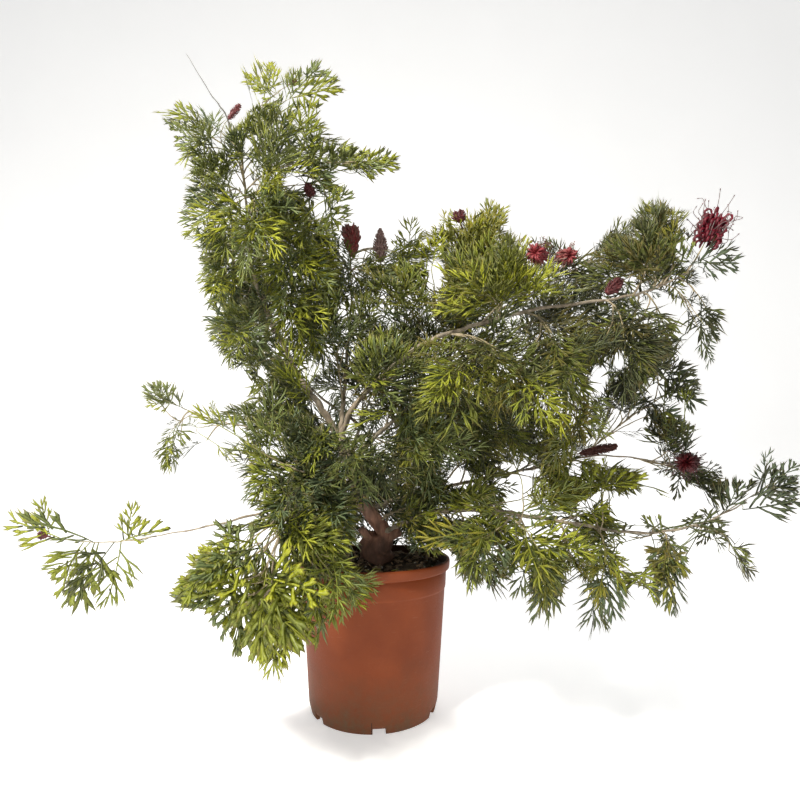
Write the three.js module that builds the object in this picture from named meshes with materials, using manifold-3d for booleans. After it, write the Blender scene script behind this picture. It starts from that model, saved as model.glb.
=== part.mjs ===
// A young grevillea shrub in a round nursery pot.
// Millimetres, +Z up. The origin is the centre of the pot's foot, and -Y is the side that the photo shows.
import * as THREE from "three";
import { mergeVertices } from "three/addons/utils/BufferGeometryUtils.js";
import Module from "manifold-3d";

const wasm = await Module();
wasm.setup();

// Clearance between neighbouring pieces
const GAP = 0.3;

// Edges shorter than this are closed up after pieces are joined
const SLIVER = 0.03;

// Pot
const POT_SIDES = 26;
const POT_HEIGHT = 179.5;
const POT_WALL = 2;
const RIM_RADIUS = 95;
const RIM_LIP = 4;
const RIM_ROUNDING = 1.2;
const GROOVE_HEIGHT = 167.3;
const STEP_HEIGHT = 145.4;
const STEP_RADIUS = 88.3;
const STEP_DEPTH = 0.9;
const HEEL_HEIGHT = 12;
const HEEL_RADIUS = 78.9;
const FOOT_RADIUS = 76.1;
const FOOT_WIDTH = 4.5;
const FLOOR_UNDERSIDE = 3;
const FLOOR_TOP = 5.5;
const BOSS_RADIUS = 12;
const NOTCH_COUNT = 6;
const NOTCH_WIDTH = 15.3;
const NOTCH_HEIGHT = 6.3;
const NOTCH_REACH = 20;
const FIRST_NOTCH_ANGLE = THREE.MathUtils.degToRad(-85);

// Soil
const SOIL_SIDES = 20;
const SOIL_EDGE_HEIGHT = 169;
const SOIL_MOUND = 6;
const SOIL_SIDE_TOP = 163;
const SOIL_RINGS = [0.99, 0.72, 0.4, 0];
const SOIL_LUMP = 2.2;
const COARSE_LUMP = 10;
const FINE_LUMP = 5.2;
const FACET_ROOM = 1;

// Wood: the points that the stem and each branch pass through, and their radii
const TRUNK_ROUTE = [
  [2, 0, 150],
  [2, 0, 178],
  [4, -2, 194],
  [12, -5, 211],
  [-11, -5, 243],
  [-30, -5, 290],
  [-45, 0, 330],
];
const TRUNK_RADII = [16, 21, 20, 9.5, 8.7, 8, 7.5];
const TRUNK_SIDES = 8;
const TRUNK_STEPS = 12;
const COLLAR_TOP = 205;
const COLLAR_KNOB = 0.12;
const STEM_KNOB = 0.04;
const KNOB_LOBES = 3;
const KNOB_TWIST = 1.7;
const BRANCH_SIDES = 5;
const BRANCH_STEP_LENGTH = 64;
const BRANCHES = {
  left: {
    radii: [6.2, 2.6],
    route: [[-45, 0, 328], [-72, 8, 372], [-100, 20, 410], [-155, 40, 520], [-175, 45, 590], [-180, 45, 660],
      [-187, 38, 730]],
  },
  centre: {
    radii: [4.6, 2.2],
    route: [[-45, 0, 326], [-42, 30, 375], [-40, 60, 430], [-35, 100, 535], [-38, 106, 585]],
  },
  long: {
    radii: [4.8, 2.2],
    route: [[-45, 0, 326], [-20, -25, 375], [50, -60, 435], [115, -70, 460], [185, -80, 478], [285, -70, 495],
      [340, -60, 510], [390, -50, 535]],
  },
  rise: {
    radii: [4.6, 2.2],
    route: [[-30, -5, 290], [-5, 30, 325], [50, 60, 375], [140, 90, 460], [235, 100, 555]],
  },
  low_back: {
    radii: [4.2, 2],
    route: [[-9, -3, 236], [35, 30, 250], [145, 60, 272], [240, 75, 290], [325, 80, 305], [420, 70, 295]],
  },
  low_front: {
    radii: [4.2, 1.9],
    route: [[8, -4, 208], [65, -60, 240], [130, -85, 245], [205, -100, 235], [300, -90, 220], [375, -80, 228],
      [440, -70, 252]],
  },
  droop: {
    radii: [3.8, 2],
    route: [[-30, -5, 288], [-50, -60, 297], [-80, -110, 275], [-92, -150, 240], [-98, -168, 205]],
  },
  far_left: {
    radii: [3, 1.7],
    route: [[-18, -5, 256], [-60, -45, 262], [-120, -72, 245], [-180, -80, 230], [-245, -70, 217]],
  },
  left_back: {
    radii: [3, 1.7],
    route: [[-45, 0, 324], [-110, 40, 338], [-175, 60, 345], [-225, 72, 355]],
  },
  back: {
    radii: [4.2, 2],
    route: [[-30, -5, 292], [-25, 60, 330], [-10, 150, 385], [5, 205, 430]],
  },
  back_right: {
    radii: [3, 1.8],
    route: [[-19, 100, 354], [70, 160, 400], [170, 210, 440], [240, 225, 480]],
  },
  back_left: {
    radii: [3, 1.8],
    route: [[-20, 90, 348], [-90, 150, 400], [-150, 190, 470], [-170, 200, 530]],
  },
  dead_twig: {
    radii: [1.7, 0.9],
    route: [[-187, 38, 726], [-208, 25, 775], [-224, 20, 796], [-260, 20, 855]],
  },
  stub_right: { radii: [7, 6.2], route: [[8, -4, 198], [32, -12, 213]] },
  stub_left: { radii: [5, 4.4], route: [[0, -4, 196], [-16, -17, 216]] },
};

// Leafy sprays: name, branch, share of the branch's length where it starts, how far the middle bows up,
// how far its leaves lift, and the ends of its main shoot and side shoots
const SPRAYS = [
  ["top", "left", 1, 10, 0.3, [[-126, 55, 836], [-82, 22, 806], [-168, 90, 842]]],
  ["top_left", "left", 0.93, 10, 0.1, [[-262, 60, 765], [-245, 5, 705], [-205, 62, 770]]],
  ["left_high", "left", 0.84, 5, 0, [[-250, 95, 695], [-238, 30, 630]]],
  ["left_middle", "left", 0.62, 0, 0, [[-208, 78, 592], [-205, 5, 535]]],
  ["left_low", "left", 0.42, 0, -0.1, [[-178, 20, 485], [-160, -60, 455]]],
  ["inner_high", "left", 0.86, 10, 0.2, [[-34, 0, 690], [-62, 48, 735], [-98, 30, 668]]],
  ["inner_middle", "left", 0.66, 5, 0, [[-66, -22, 606]]],
  ["front_high", "left", 0.76, 5, 0, [[-120, -62, 655], [-150, -58, 580]]],
  ["back_high", "left", 0.6, 10, 0, [[-140, 165, 640], [-222, 150, 690], [-185, 155, 550]]],
  ["centre_top", "centre", 1, 5, 0.2, [[-34, 102, 612], [8, 88, 582], [52, 62, 585]]],
  ["centre_middle", "centre", 0.62, 5, 0, [[-62, 188, 590], [-78, 52, 500]]],
  ["rise_high", "rise", 0.72, 5, 0.1, [[130, 92, 640], [182, 112, 650]]],
  ["rise_near", "rise", 0.56, 5, 0.1, [[76, 22, 560], [150, -5, 540]]],
  ["rise_tip", "rise", 1, 5, 0, [[300, 128, 630], [238, 62, 590], [278, 92, 600]]],
  ["rise_far", "rise", 0.93, 5, 0, [[375, 150, 620], [350, 172, 555]]],
  ["rise_back", "rise", 0.8, 5, 0, [[220, 230, 610], [150, 205, 560]]],
  ["long_tip", "long", 1, 5, 0, [[416, -50, 575], [388, -84, 546]]],
  ["long_high", "long", 0.78, 10, 0.1, [[358, -28, 605], [292, -58, 512]]],
  ["long_hanging", "long", 0.9, 10, -0.4, [[372, -112, 440], [405, -60, 425]]],
  ["long_low_far", "long", 0.7, 10, -0.3, [[272, -128, 410]]],
  ["long_low_near", "long", 0.55, 10, -0.2, [[195, -150, 405], [218, -132, 340]]],
  ["long_rising", "long", 0.45, 5, 0.2, [[185, -40, 545], [105, -92, 500]]],
  ["long_front", "long", 0.36, 10, -0.1, [[150, -185, 375], [78, -142, 385]]],
  ["low_back_bud", "low_back", 0.55, 5, 0, [[284, 62, 318], [215, 105, 360]]],
  ["low_back_high", "low_back", 0.72, 10, 0, [[395, 75, 385], [408, 42, 370], [430, 92, 440]]],
  ["low_back_tip", "low_back", 1, 5, -0.1, [[500, 62, 278], [425, 22, 296]]],
  ["low_back_near", "low_back", 0.35, 5, 0, [[118, 28, 340], [182, 82, 215]]],
  ["low_back_rear", "low_back", 0.6, 5, -0.1, [[290, 190, 320]]],
  ["low_front_tip", "low_front", 0.9, 5, -0.1, [[498, -60, 280], [405, -105, 225]]],
  ["low_front_broad", "low_front", 0.72, 10, -0.4, [[312, -130, 195], [345, -40, 200]]],
  ["low_front_middle", "low_front", 0.57, 10, -0.3, [[240, -140, 190], [256, -92, 285]]],
  ["low_front_near", "low_front", 0.34, 10, -0.3, [[172, -148, 205], [106, -145, 222], [160, -112, 285]]],
  ["droop_tip", "droop", 1, 0, -0.5, [[-92, -200, 172], [-138, -182, 190]]],
  ["droop_left", "droop", 0.78, 5, -0.3, [[-172, -165, 198], [-168, -118, 232]]],
  ["droop_right", "droop", 0.62, 5, -0.3, [[-36, -165, 188]]],
  ["droop_near", "droop", 0.4, 5, -0.1, [[-140, -82, 310]]],
  ["stem_front", "trunk", 0.86, 5, 0, [[-28, -122, 300], [55, -118, 325]]],
  ["stem_left", "trunk", 0.95, 5, 0, [[-138, -32, 352]]],
  ["far_left_tip", "far_left", 1, -8, 0.1, [[-372, -50, 214]]],
  ["left_back_tip", "left_back", 1, 0, 0, [[-308, 88, 390], [-282, 42, 322]]],
  ["back_tip", "back", 1, 10, 0, [[0, 265, 515], [62, 262, 465]]],
  ["back_low", "back", 0.62, 10, -0.1, [[-72, 248, 420], [60, 215, 335]]],
  ["back_right_tip", "back_right", 0.9, 5, 0, [[272, 258, 525], [312, 220, 440], [165, 285, 450]]],
  ["back_left_tip", "back_left", 0.9, 5, 0, [[-188, 230, 595], [-232, 190, 510], [-165, 255, 440]]],
];

// Shoots
const SHOOT_SIDES = 3;
const SHOOT_STEP_LENGTH = 58;
const MAIN_SHOOT_RADII = [2.8, 2];
const SIDE_SHOOT_RADII = [2.2, 1.9];
const SIDE_SHOOT_STARTS = [0.3, 0.5];
const BEND_FORWARD = 0.22;
const BEND_SHARE = 0.3;

// Leaves
const LEAF_PITCH = 13;
const BARE_SHARE = 0.25;
const LOWEST_LEAF_SHARE = 0.02;
const LEAF_TURN = THREE.MathUtils.degToRad(137.5);
const TIP_OPENING = 0.25;
const OPENING_STEP = 0.2;
const WIDEST_OPENING = 1.05;
const OPENING_SPREAD = 0.25;
const TURN_SPREAD = 0.5;
const LIFT_WEIGHT = 0.7;
const LIFT_SPREAD = 0.12;
const FACING = [0, -0.75, 0.65];
const FACING_SPREAD = [1.1, 0.9, 0.9];
const TIP_LEAF_SCALE = 0.85;
const LEAF_LENGTHS = [66, 92];
const LEAF_THICKNESS = 1.6;
const LEAF_ARCH = 0.16;
const LEAF_KEEL = 0.22;
const PETIOLE_HALF_WIDTH = 0.8;
const PETIOLE_THICKNESS_SHARE = 0.6;
const RIB_HALF_WIDTH = 0.024;
const RIB_THINNING = 0.15;
const FIRST_NOTCH = 0.75;
const NOTCH_BETWEEN = 0.45;
const TIP_NOTCH_REACH = 0.22;
// Each pair of lobes: where it leaves the rib and its length, as shares of the leaf's length, and its slant
const FULL_LOBES = [
  { at: 0.27, reach: 0.46, slant: 0.92 },
  { at: 0.48, reach: 0.4, slant: 0.78 },
  { at: 0.68, reach: 0.27, slant: 0.62 },
];
const FEWER_LOBES = [
  { at: 0.32, reach: 0.47, slant: 0.88 },
  { at: 0.6, reach: 0.33, slant: 0.68 },
];
const LEAVES_PER_SHOOT = 3;
const LEAF_STRIDE = 3;
const TEST_SCALE = 1.04;
const TEST_THICKNESS = 2.6;

// Flowers and buds: name, spray, which of its shoots, kind, radius and length
const FLOWERS = [
  ["flower_right_high", "long_tip", 0, "spider", 15, 22],
  ["flower_right_low", "low_back_tip", 1, "spider", 14, 24],
  ["flower_middle_left", "rise_tip", 1, "spider", 11, 18],
  ["flower_middle_right", "rise_tip", 2, "spider", 11, 16],
  ["flower_on_long_branch", "long_high", 1, "bud", 7, 14],
  ["bud_on_rise", "rise_high", 0, "bud", 8, 12],
  ["cone_brown", "centre_top", 0, "cone", 10, 34],
  ["cone_grey", "centre_top", 1, "cone", 9, 50],
  ["bud_inner", "inner_high", 2, "bud", 7, 14],
  ["bud_top_left", "top_left", 2, "bud", 8, 20],
  ["bud_low_right", "low_back_bud", 0, "cone", 8, 44],
];

// How each kind of flower is made: florets and the rows they stand in, how far their styles curl forwards,
// the core's share of the radius, and a floret's own radius
const FLOWER_KINDS = {
  spider: { florets: 8, rows: 3, curl: 0.7, coreShare: 0.42, floretRadius: 1.3 },
  bud: { florets: 4, rows: 2, curl: 0.2, coreShare: 0.6, floretRadius: 1.6 },
  cone: { florets: 5, rows: 3, curl: 0.5, coreShare: 0.62, floretRadius: 2 },
};
const STALK_LENGTH = 4;
const STALK_RADIUS = 1;
const STALK_DEPTH = 0.3;
const FLORET_ROWS_SHARE = 0.62;
const FLORET_RISE = 0.12;

const up = new THREE.Vector3(0, 0, 1);

function point(coordinates) {
  return new THREE.Vector3(...coordinates);
}

// A repeatable draw from 0 to 1
function draw(seed, use) {
  const wave = Math.sin(seed * 12.9898 + use * 78.233) * 43758.5453;
  return wave - Math.floor(wave);
}

function mix(low, high, share) {
  return low + (high - low) * share;
}

function geometryFrom(positions, index) {
  const geometry = new THREE.BufferGeometry();
  geometry.setAttribute("position", new THREE.Float32BufferAttribute(positions, 3));
  geometry.setIndex(index);
  return geometry;
}

function solidFrom(geometry) {
  const bare = geometry.clone();
  bare.deleteAttribute("normal");
  bare.deleteAttribute("uv");
  const merged = mergeVertices(bare, 1e-4);
  const mesh = new wasm.Mesh({
    numProp: 3,
    vertProperties: merged.attributes.position.array,
    triVerts: new Uint32Array(merged.index.array),
  });
  return new wasm.Manifold(mesh);
}

function largestBody(solid) {
  const bodies = solid.decompose();
  return bodies.reduce((best, body) => (body.volume() > best.volume() ? body : best));
}

function meshFrom(name, solid, material) {
  const shape = solid.getMesh();
  const geometry = geometryFrom(shape.vertProperties, Array.from(shape.triVerts));
  geometry.computeVertexNormals();
  const mesh = new THREE.Mesh(geometry, material);
  mesh.name = name;
  return mesh;
}

// A closed tube through a line of points, with its own radius at each point
function tube(line, radii, sides) {
  const positions = [];
  const index = [];
  const tangent = new THREE.Vector3();
  let across = new THREE.Vector3(0.31, 0.9, 0.17);
  line.forEach((centre, ring) => {
    tangent.subVectors(line[Math.min(ring + 1, line.length - 1)], line[Math.max(ring - 1, 0)]).normalize();
    across.addScaledVector(tangent, -across.dot(tangent)).normalize();
    const over = new THREE.Vector3().crossVectors(tangent, across);
    for (let side = 0; side < sides; side += 1) {
      const angle = (2 * Math.PI * side) / sides;
      const reach = typeof radii[ring] === "function" ? radii[ring](angle) : radii[ring];
      const corner = centre.clone();
      corner.addScaledVector(across, Math.cos(angle) * reach);
      corner.addScaledVector(over, Math.sin(angle) * reach);
      positions.push(corner.x, corner.y, corner.z);
    }
  });
  for (let ring = 0; ring < line.length - 1; ring += 1) {
    for (let side = 0; side < sides; side += 1) {
      const low = ring * sides;
      const high = low + sides;
      const next = (side + 1) % sides;
      index.push(low + side, low + next, high + next);
      index.push(low + side, high + next, high + side);
    }
  }
  const last = (line.length - 1) * sides;
  for (let side = 1; side < sides - 1; side += 1) {
    index.push(0, side + 1, side);
    index.push(last, last + side, last + side + 1);
  }
  return geometryFrom(positions, index);
}

// With an allowance, the tube is that much fatter, and longer at its end
function taperedTube(curve, steps, radii, sides, allowance = 0) {
  const line = curve.getPoints(steps);
  const widths = line.map((_, step) => mix(radii[0], radii[1], step / steps) + allowance);
  line[steps].addScaledVector(curve.getTangent(1), allowance);
  return tube(line, widths, sides);
}

// Pot: a turned shell with notches cut through its foot
function potProfile() {
  const recess = FOOT_RADIUS - FOOT_WIDTH;
  return [
    [0, 0],
    [BOSS_RADIUS, 0],
    [BOSS_RADIUS, FLOOR_UNDERSIDE],
    [recess, FLOOR_UNDERSIDE],
    [recess, 0],
    [FOOT_RADIUS, 0],
    [HEEL_RADIUS, HEEL_HEIGHT],
    [STEP_RADIUS, STEP_HEIGHT],
    [STEP_RADIUS + STEP_DEPTH, STEP_HEIGHT + 1],
    [RIM_RADIUS - RIM_LIP, GROOVE_HEIGHT],
    [RIM_RADIUS - 1, GROOVE_HEIGHT + 1],
    [RIM_RADIUS, POT_HEIGHT - RIM_LIP],
    [RIM_RADIUS - RIM_ROUNDING, POT_HEIGHT],
    [RIM_RADIUS - RIM_LIP, POT_HEIGHT],
    [RIM_RADIUS - RIM_LIP - POT_WALL, GROOVE_HEIGHT],
    [HEEL_RADIUS - POT_WALL, HEEL_HEIGHT],
    [FOOT_RADIUS - POT_WALL, FLOOR_TOP],
    [0, FLOOR_TOP],
  ];
}

// A turned body from its profile of radius and height
function turnedGeometry(profile, sides) {
  const points = profile.map(([radius, height]) => new THREE.Vector2(radius, height));
  return new THREE.LatheGeometry(points, sides).rotateX(Math.PI / 2);
}

function potSolid() {
  let pot = solidFrom(turnedGeometry(potProfile(), POT_SIDES));
  for (let notch = 0; notch < NOTCH_COUNT; notch += 1) {
    const cutter = new THREE.BoxGeometry(NOTCH_REACH, NOTCH_WIDTH, 2 * NOTCH_HEIGHT);
    cutter.translate(FOOT_RADIUS, 0, 0);
    cutter.rotateZ(FIRST_NOTCH_ANGLE + (2 * Math.PI * notch) / NOTCH_COUNT);
    pot = pot.subtract(solidFrom(cutter));
  }
  return pot;
}

// Soil: fills the pot, with a lumpy top that rises to the stem
function soilHeight(x, y) {
  const share = Math.hypot(x, y) / STEP_RADIUS;
  const coarse = Math.sin(x / COARSE_LUMP + 0.6) * Math.cos(y / COARSE_LUMP);
  const fine = Math.sin(x / FINE_LUMP - y / (1.2 * FINE_LUMP));
  const fade = Math.min(1, 3 * (1.05 - share));
  return SOIL_EDGE_HEIGHT + SOIL_MOUND * (1 - share * share) + SOIL_LUMP * (coarse + 0.7 * fine) * fade;
}

function soilSolid(stemSocket) {
  const clear = POT_WALL + GAP + FACET_ROOM;
  const edge = RIM_RADIUS - RIM_LIP - clear;
  const profile = [
    [0, FLOOR_TOP + GAP],
    [FOOT_RADIUS - clear, FLOOR_TOP + GAP],
    [HEEL_RADIUS - clear, HEEL_HEIGHT],
    [edge, SOIL_SIDE_TOP],
  ];
  SOIL_RINGS.forEach((share) => profile.push([edge * share, SOIL_EDGE_HEIGHT]));
  const geometry = turnedGeometry(profile, SOIL_SIDES);
  const place = geometry.attributes.position;
  for (let i = 0; i < place.count; i += 1) {
    if (place.getZ(i) > SOIL_SIDE_TOP + 1) {
      place.setZ(i, soilHeight(place.getX(i), place.getY(i)));
    }
  }
  return solidFrom(geometry).subtract(stemSocket);
}

// Wood: the stem with its knobby collar, the branches and the cut stubs, grown together
function branchCurve(name) {
  const route = name === "trunk" ? TRUNK_ROUTE : BRANCHES[name].route;
  return new THREE.CatmullRomCurve3(route.map(point), false, "catmullrom", 0.5);
}

function trunkSolid(allowance) {
  const line = branchCurve("trunk").getPoints(TRUNK_STEPS);
  line[0].z -= allowance;
  const radii = line.map((centre, step) => {
    const place = (step / TRUNK_STEPS) * (TRUNK_RADII.length - 1);
    const low = Math.min(Math.floor(place), TRUNK_RADII.length - 2);
    const radius = mix(TRUNK_RADII[low], TRUNK_RADII[low + 1], place - low);
    const knob = centre.z < COLLAR_TOP ? COLLAR_KNOB : STEM_KNOB;
    return (angle) => radius * (1 + knob * Math.sin(KNOB_LOBES * angle + step * KNOB_TWIST)) + allowance;
  });
  return solidFrom(tube(line, radii, TRUNK_SIDES));
}

function branchSolid(name, allowance) {
  const curve = branchCurve(name);
  const steps = Math.max(1, Math.round(curve.getLength() / BRANCH_STEP_LENGTH));
  return solidFrom(taperedTube(curve, steps, BRANCHES[name].radii, BRANCH_SIDES, allowance));
}

function woodSolid(allowance = 0) {
  const branches = Object.keys(BRANCHES).map((name) => branchSolid(name, allowance));
  return wasm.Manifold.union([trunkSolid(allowance), ...branches]);
}

// Shoots: each leaves its parent forwards and bends to its end
function shootCurve(parent, share, end, bow) {
  const start = parent.getPoint(share);
  const forward = parent.getTangent(Math.min(share, 0.999));
  const span = new THREE.Vector3().subVectors(end, start);
  const bend = start.clone();
  bend.addScaledVector(forward, BEND_FORWARD * span.length());
  bend.addScaledVector(span, BEND_SHARE);
  bend.z += bow;
  return new THREE.QuadraticBezierCurve3(start, bend, end);
}

function shootsOf([, branch, share, bow, , ends]) {
  const main = shootCurve(branchCurve(branch), share, point(ends[0]), bow);
  const sides = ends.slice(1).map((end, i) => {
    return shootCurve(main, SIDE_SHOOT_STARTS[i], point(end), bow / 2);
  });
  return [main, ...sides];
}

function shootSolid(curve, isMain) {
  const steps = Math.max(2, Math.round(curve.getLength() / SHOOT_STEP_LENGTH));
  const radii = isMain ? MAIN_SHOOT_RADII : SIDE_SHOOT_RADII;
  return solidFrom(taperedTube(curve, steps, radii, SHOOT_SIDES));
}

// Leaves: counted from a shoot's tip, turned round it by a fixed angle, opening further towards its base
function leafPlaces(curve, seed, lift) {
  const length = curve.getLength();
  const count = Math.max(2, Math.floor((length * (1 - BARE_SHARE)) / LEAF_PITCH));
  const places = [];
  for (let i = 0; i < count; i += 1) {
    const share = Math.max(LOWEST_LEAF_SHARE, 1 - (i * LEAF_PITCH + 2) / length);
    const own = seed * 31 + i;
    const base = curve.getPoint(share);
    const forward = curve.getTangent(share);
    const over = up.clone().addScaledVector(forward, -up.dot(forward)).normalize();
    const across = new THREE.Vector3().crossVectors(forward, over);
    const turn = draw(seed, 1) * 2 * Math.PI + i * LEAF_TURN + TURN_SPREAD * draw(own, 2);
    const opening = Math.min(WIDEST_OPENING, TIP_OPENING + OPENING_STEP * i);
    const open = opening + OPENING_SPREAD * (draw(own, 3) - 0.5);
    const along = forward.clone().multiplyScalar(Math.cos(open));
    along.addScaledVector(over, Math.sin(open) * Math.cos(turn));
    along.addScaledVector(across, Math.sin(open) * Math.sin(turn));
    along.z += lift * LIFT_WEIGHT + LIFT_SPREAD * (draw(own, 4) - 0.5);
    along.normalize();
    const facing = point(FACING.map((value, axis) => {
      return value + FACING_SPREAD[axis] * (draw(own, 5 + axis) - 0.5);
    }));
    facing.addScaledVector(along, -facing.dot(along)).normalize();
    const reach = mix(...LEAF_LENGTHS, draw(own, 8)) * (i === 0 ? TIP_LEAF_SCALE : 1);
    places.push({ base, along, facing, reach });
  }
  return places;
}

// A leaf cut nearly to its rib into pairs of pointed lobes: two faces share its outline and part at the rib
function leafSolid({ base, along, facing, reach }, pairs, thickness, scale = 1) {
  const across = new THREE.Vector3().crossVectors(along, facing);
  const positions = [];
  const length = reach * scale;
  const place = (x, y, rise) => {
    const lift = LEAF_KEEL * Math.abs(x) - (LEAF_ARCH * y * y) / length + rise;
    const at = base.clone();
    at.addScaledVector(across, x).addScaledVector(along, y).addScaledVector(facing, lift);
    positions.push(at.x, at.y, at.z);
    return positions.length / 3 - 1;
  };
  const rib = (y, share) => {
    const half = (thickness * share) / 2;
    return [place(0, y, half), place(0, y, -half)];
  };
  const ribHalf = RIB_HALF_WIDTH * length;
  const foot = rib(0, PETIOLE_THICKNESS_SHARE);
  const ribs = pairs.map((pair, i) => rib(pair.at * length, 1 - RIB_THINNING * i));
  const tip = place(0, length, 0);
  const index = [];
  const face = (a, b, c, side) => index.push(a, side > 0 ? b : c, side > 0 ? c : b);
  const feet = [];
  [1, -1].forEach((side) => {
    const footCorner = place(side * PETIOLE_HALF_WIDTH, 0, 0);
    feet.push(footCorner);
    const notches = [place(side * ribHalf, pairs[0].at * length * FIRST_NOTCH, 0)];
    const lobes = [];
    pairs.forEach((pair, i) => {
      const x = side * pair.reach * Math.sin(pair.slant) * length;
      lobes.push(place(x, (pair.at + pair.reach * Math.cos(pair.slant)) * length, 0));
      const next = i + 1 < pairs.length ? pairs[i + 1].at : pair.at + TIP_NOTCH_REACH;
      notches.push(place(side * ribHalf, mix(pair.at, next, NOTCH_BETWEEN) * length, 0));
    });
    [0, 1].forEach((layer) => {
      const turn = layer === 0 ? side : -side;
      const fan = (a, b, c) => face(a, b, c, turn);
      fan(foot[layer], footCorner, notches[0]);
      fan(foot[layer], notches[0], ribs[0][layer]);
      ribs.forEach((pairRib, i) => {
        fan(pairRib[layer], notches[i], lobes[i]);
        fan(pairRib[layer], lobes[i], notches[i + 1]);
        const beyond = i + 1 < ribs.length ? ribs[i + 1][layer] : tip;
        fan(pairRib[layer], notches[i + 1], beyond);
      });
    });
  });
  index.push(foot[0], feet[1], foot[1]);
  index.push(foot[0], foot[1], feet[0]);
  return solidFrom(geometryFrom(positions, index));
}

// Flowers: florets with long curved styles, or short scales, round a core on a short stalk
function floret(root, axis, outward, reach, rise, radius) {
  const end = root.clone().addScaledVector(outward, reach).addScaledVector(axis, rise);
  return solidFrom(tube([root, end], [radius, radius * 0.5], 3));
}

function flowerSolid(base, axis, kind, radius, length) {
  const { florets, rows, curl, coreShare, floretRadius } = FLOWER_KINDS[kind];
  const foot = base.clone().addScaledVector(axis, 1.5 * GAP);
  const neck = foot.clone().addScaledVector(axis, STALK_LENGTH + length * STALK_DEPTH);
  const stalk = solidFrom(tube([foot, neck], [STALK_RADIUS, STALK_RADIUS], 4));
  const core = new THREE.SphereGeometry(1, 5, 4);
  core.scale(radius * coreShare, length / 2, radius * coreShare);
  core.applyQuaternion(new THREE.Quaternion().setFromUnitVectors(new THREE.Vector3(0, 1, 0), axis));
  const centre = foot.clone().addScaledVector(axis, STALK_LENGTH + length / 2);
  core.translate(centre.x, centre.y, centre.z);
  const side = new THREE.Vector3(0.4, 0.7, 0.2).cross(axis).normalize();
  const pieces = [stalk, solidFrom(core)];
  for (let i = 0; i < florets; i += 1) {
    const row = (i % rows) / Math.max(1, rows - 1) - 0.5;
    const outward = side.clone().applyAxisAngle(axis, i * LEAF_TURN);
    const root = centre.clone().addScaledVector(axis, row * length * FLORET_ROWS_SHARE);
    const rise = length * FLORET_RISE + curl * radius;
    pieces.push(floret(root, axis, outward, radius, rise, floretRadius));
  }
  return largestBody(wasm.Manifold.union(pieces).simplify(SLIVER));
}

// Everything placed so far, with its owner's name, so that a new piece is kept clear of it
const placed = [];

function put(owner, solid) {
  placed.push({ owner, solid, box: solid.boundingBox() });
}

function boxesMeet(a, b) {
  return [0, 1, 2].every((axis) => a.min[axis] < b.max[axis] && b.min[axis] < a.max[axis]);
}

function isClear(solid, ignored) {
  const box = solid.boundingBox();
  const near = placed.filter((other) => !ignored.includes(other.owner) && boxesMeet(box, other.box));
  return near.every((other) => solid.intersect(other.solid).isEmpty());
}

function colour(hex) {
  return new THREE.MeshStandardMaterial({ color: hex, roughness: 0.75, metalness: 0 });
}

const materials = {
  pot: new THREE.MeshStandardMaterial({ color: 0xa4532f, roughness: 0.55, metalness: 0 }),
  soil: colour(0x2a211b),
  wood: colour(0x8a6f55),
  leaf: colour(0x4f6b2a),
  flower: colour(0x8e1626),
};

const group = new THREE.Group();
const wood = woodSolid();
const woodWithGap = woodSolid(GAP / Math.cos(Math.PI / BRANCH_SIDES));
const pot = potSolid();
const soil = soilSolid(woodWithGap);
group.add(meshFrom("pot", pot, materials.pot));
group.add(meshFrom("soil", soil, materials.soil));
group.add(meshFrom("stem_and_branches", wood, materials.wood));
put("pot", pot);
put("soil", soil);
put("wood", wood);

const sprays = SPRAYS.map((row, number) => {
  const name = row[0];
  const shoots = shootsOf(row);
  const stems = wasm.Manifold.union(shoots.map((curve, i) => shootSolid(curve, i === 0)));
  const seated = largestBody(stems.subtract(woodWithGap));
  put(name + " stem", seated);
  const flowering = FLOWERS.filter((flower) => flower[1] === name).map((flower) => flower[2]);
  const leafLists = shoots.map((curve, i) => {
    const places = leafPlaces(curve, number * 4 + i + 1, row[4]);
    return flowering.includes(i) ? places.slice(1) : places;
  });
  return { name, stems: seated, shoots, leafLists, leaves: [] };
});

FLOWERS.forEach(([name, spray, shoot, kind, radius, length]) => {
  const curve = sprays.find((one) => one.name === spray).shoots[shoot];
  const flower = flowerSolid(curve.getPoint(1), curve.getTangent(1), kind, radius, length);
  put(name, flower);
  group.add(meshFrom(name, flower, materials.flower));
});

// Tip leaves first, then further down each shoot, each one only where it crosses nothing
for (let round = 0; round < LEAVES_PER_SHOOT; round += 1) {
  sprays.forEach((spray) => {
    spray.leafLists.forEach((places, shoot) => {
      if (round > 1 && shoot > 0) return;
      const lobes = round === 0 && shoot === 0 ? FULL_LOBES : FEWER_LOBES;
      const choices = places.slice(round * LEAF_STRIDE, (round + 1) * LEAF_STRIDE);
      const fits = choices.find((place) => {
        const test = leafSolid(place, lobes, TEST_THICKNESS, TEST_SCALE);
        return isClear(test, [spray.name + " stem"]);
      });
      if (!fits) return;
      const leaf = leafSolid(fits, lobes, LEAF_THICKNESS);
      spray.leaves.push(leaf);
      put(spray.name, leaf);
    });
  });
}

sprays.forEach((spray) => {
  const whole = wasm.Manifold.union([spray.stems, ...spray.leaves]).simplify(SLIVER);
  group.add(meshFrom("spray_" + spray.name, largestBody(whole), materials.leaf));
});

export default group;
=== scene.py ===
import math

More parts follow.
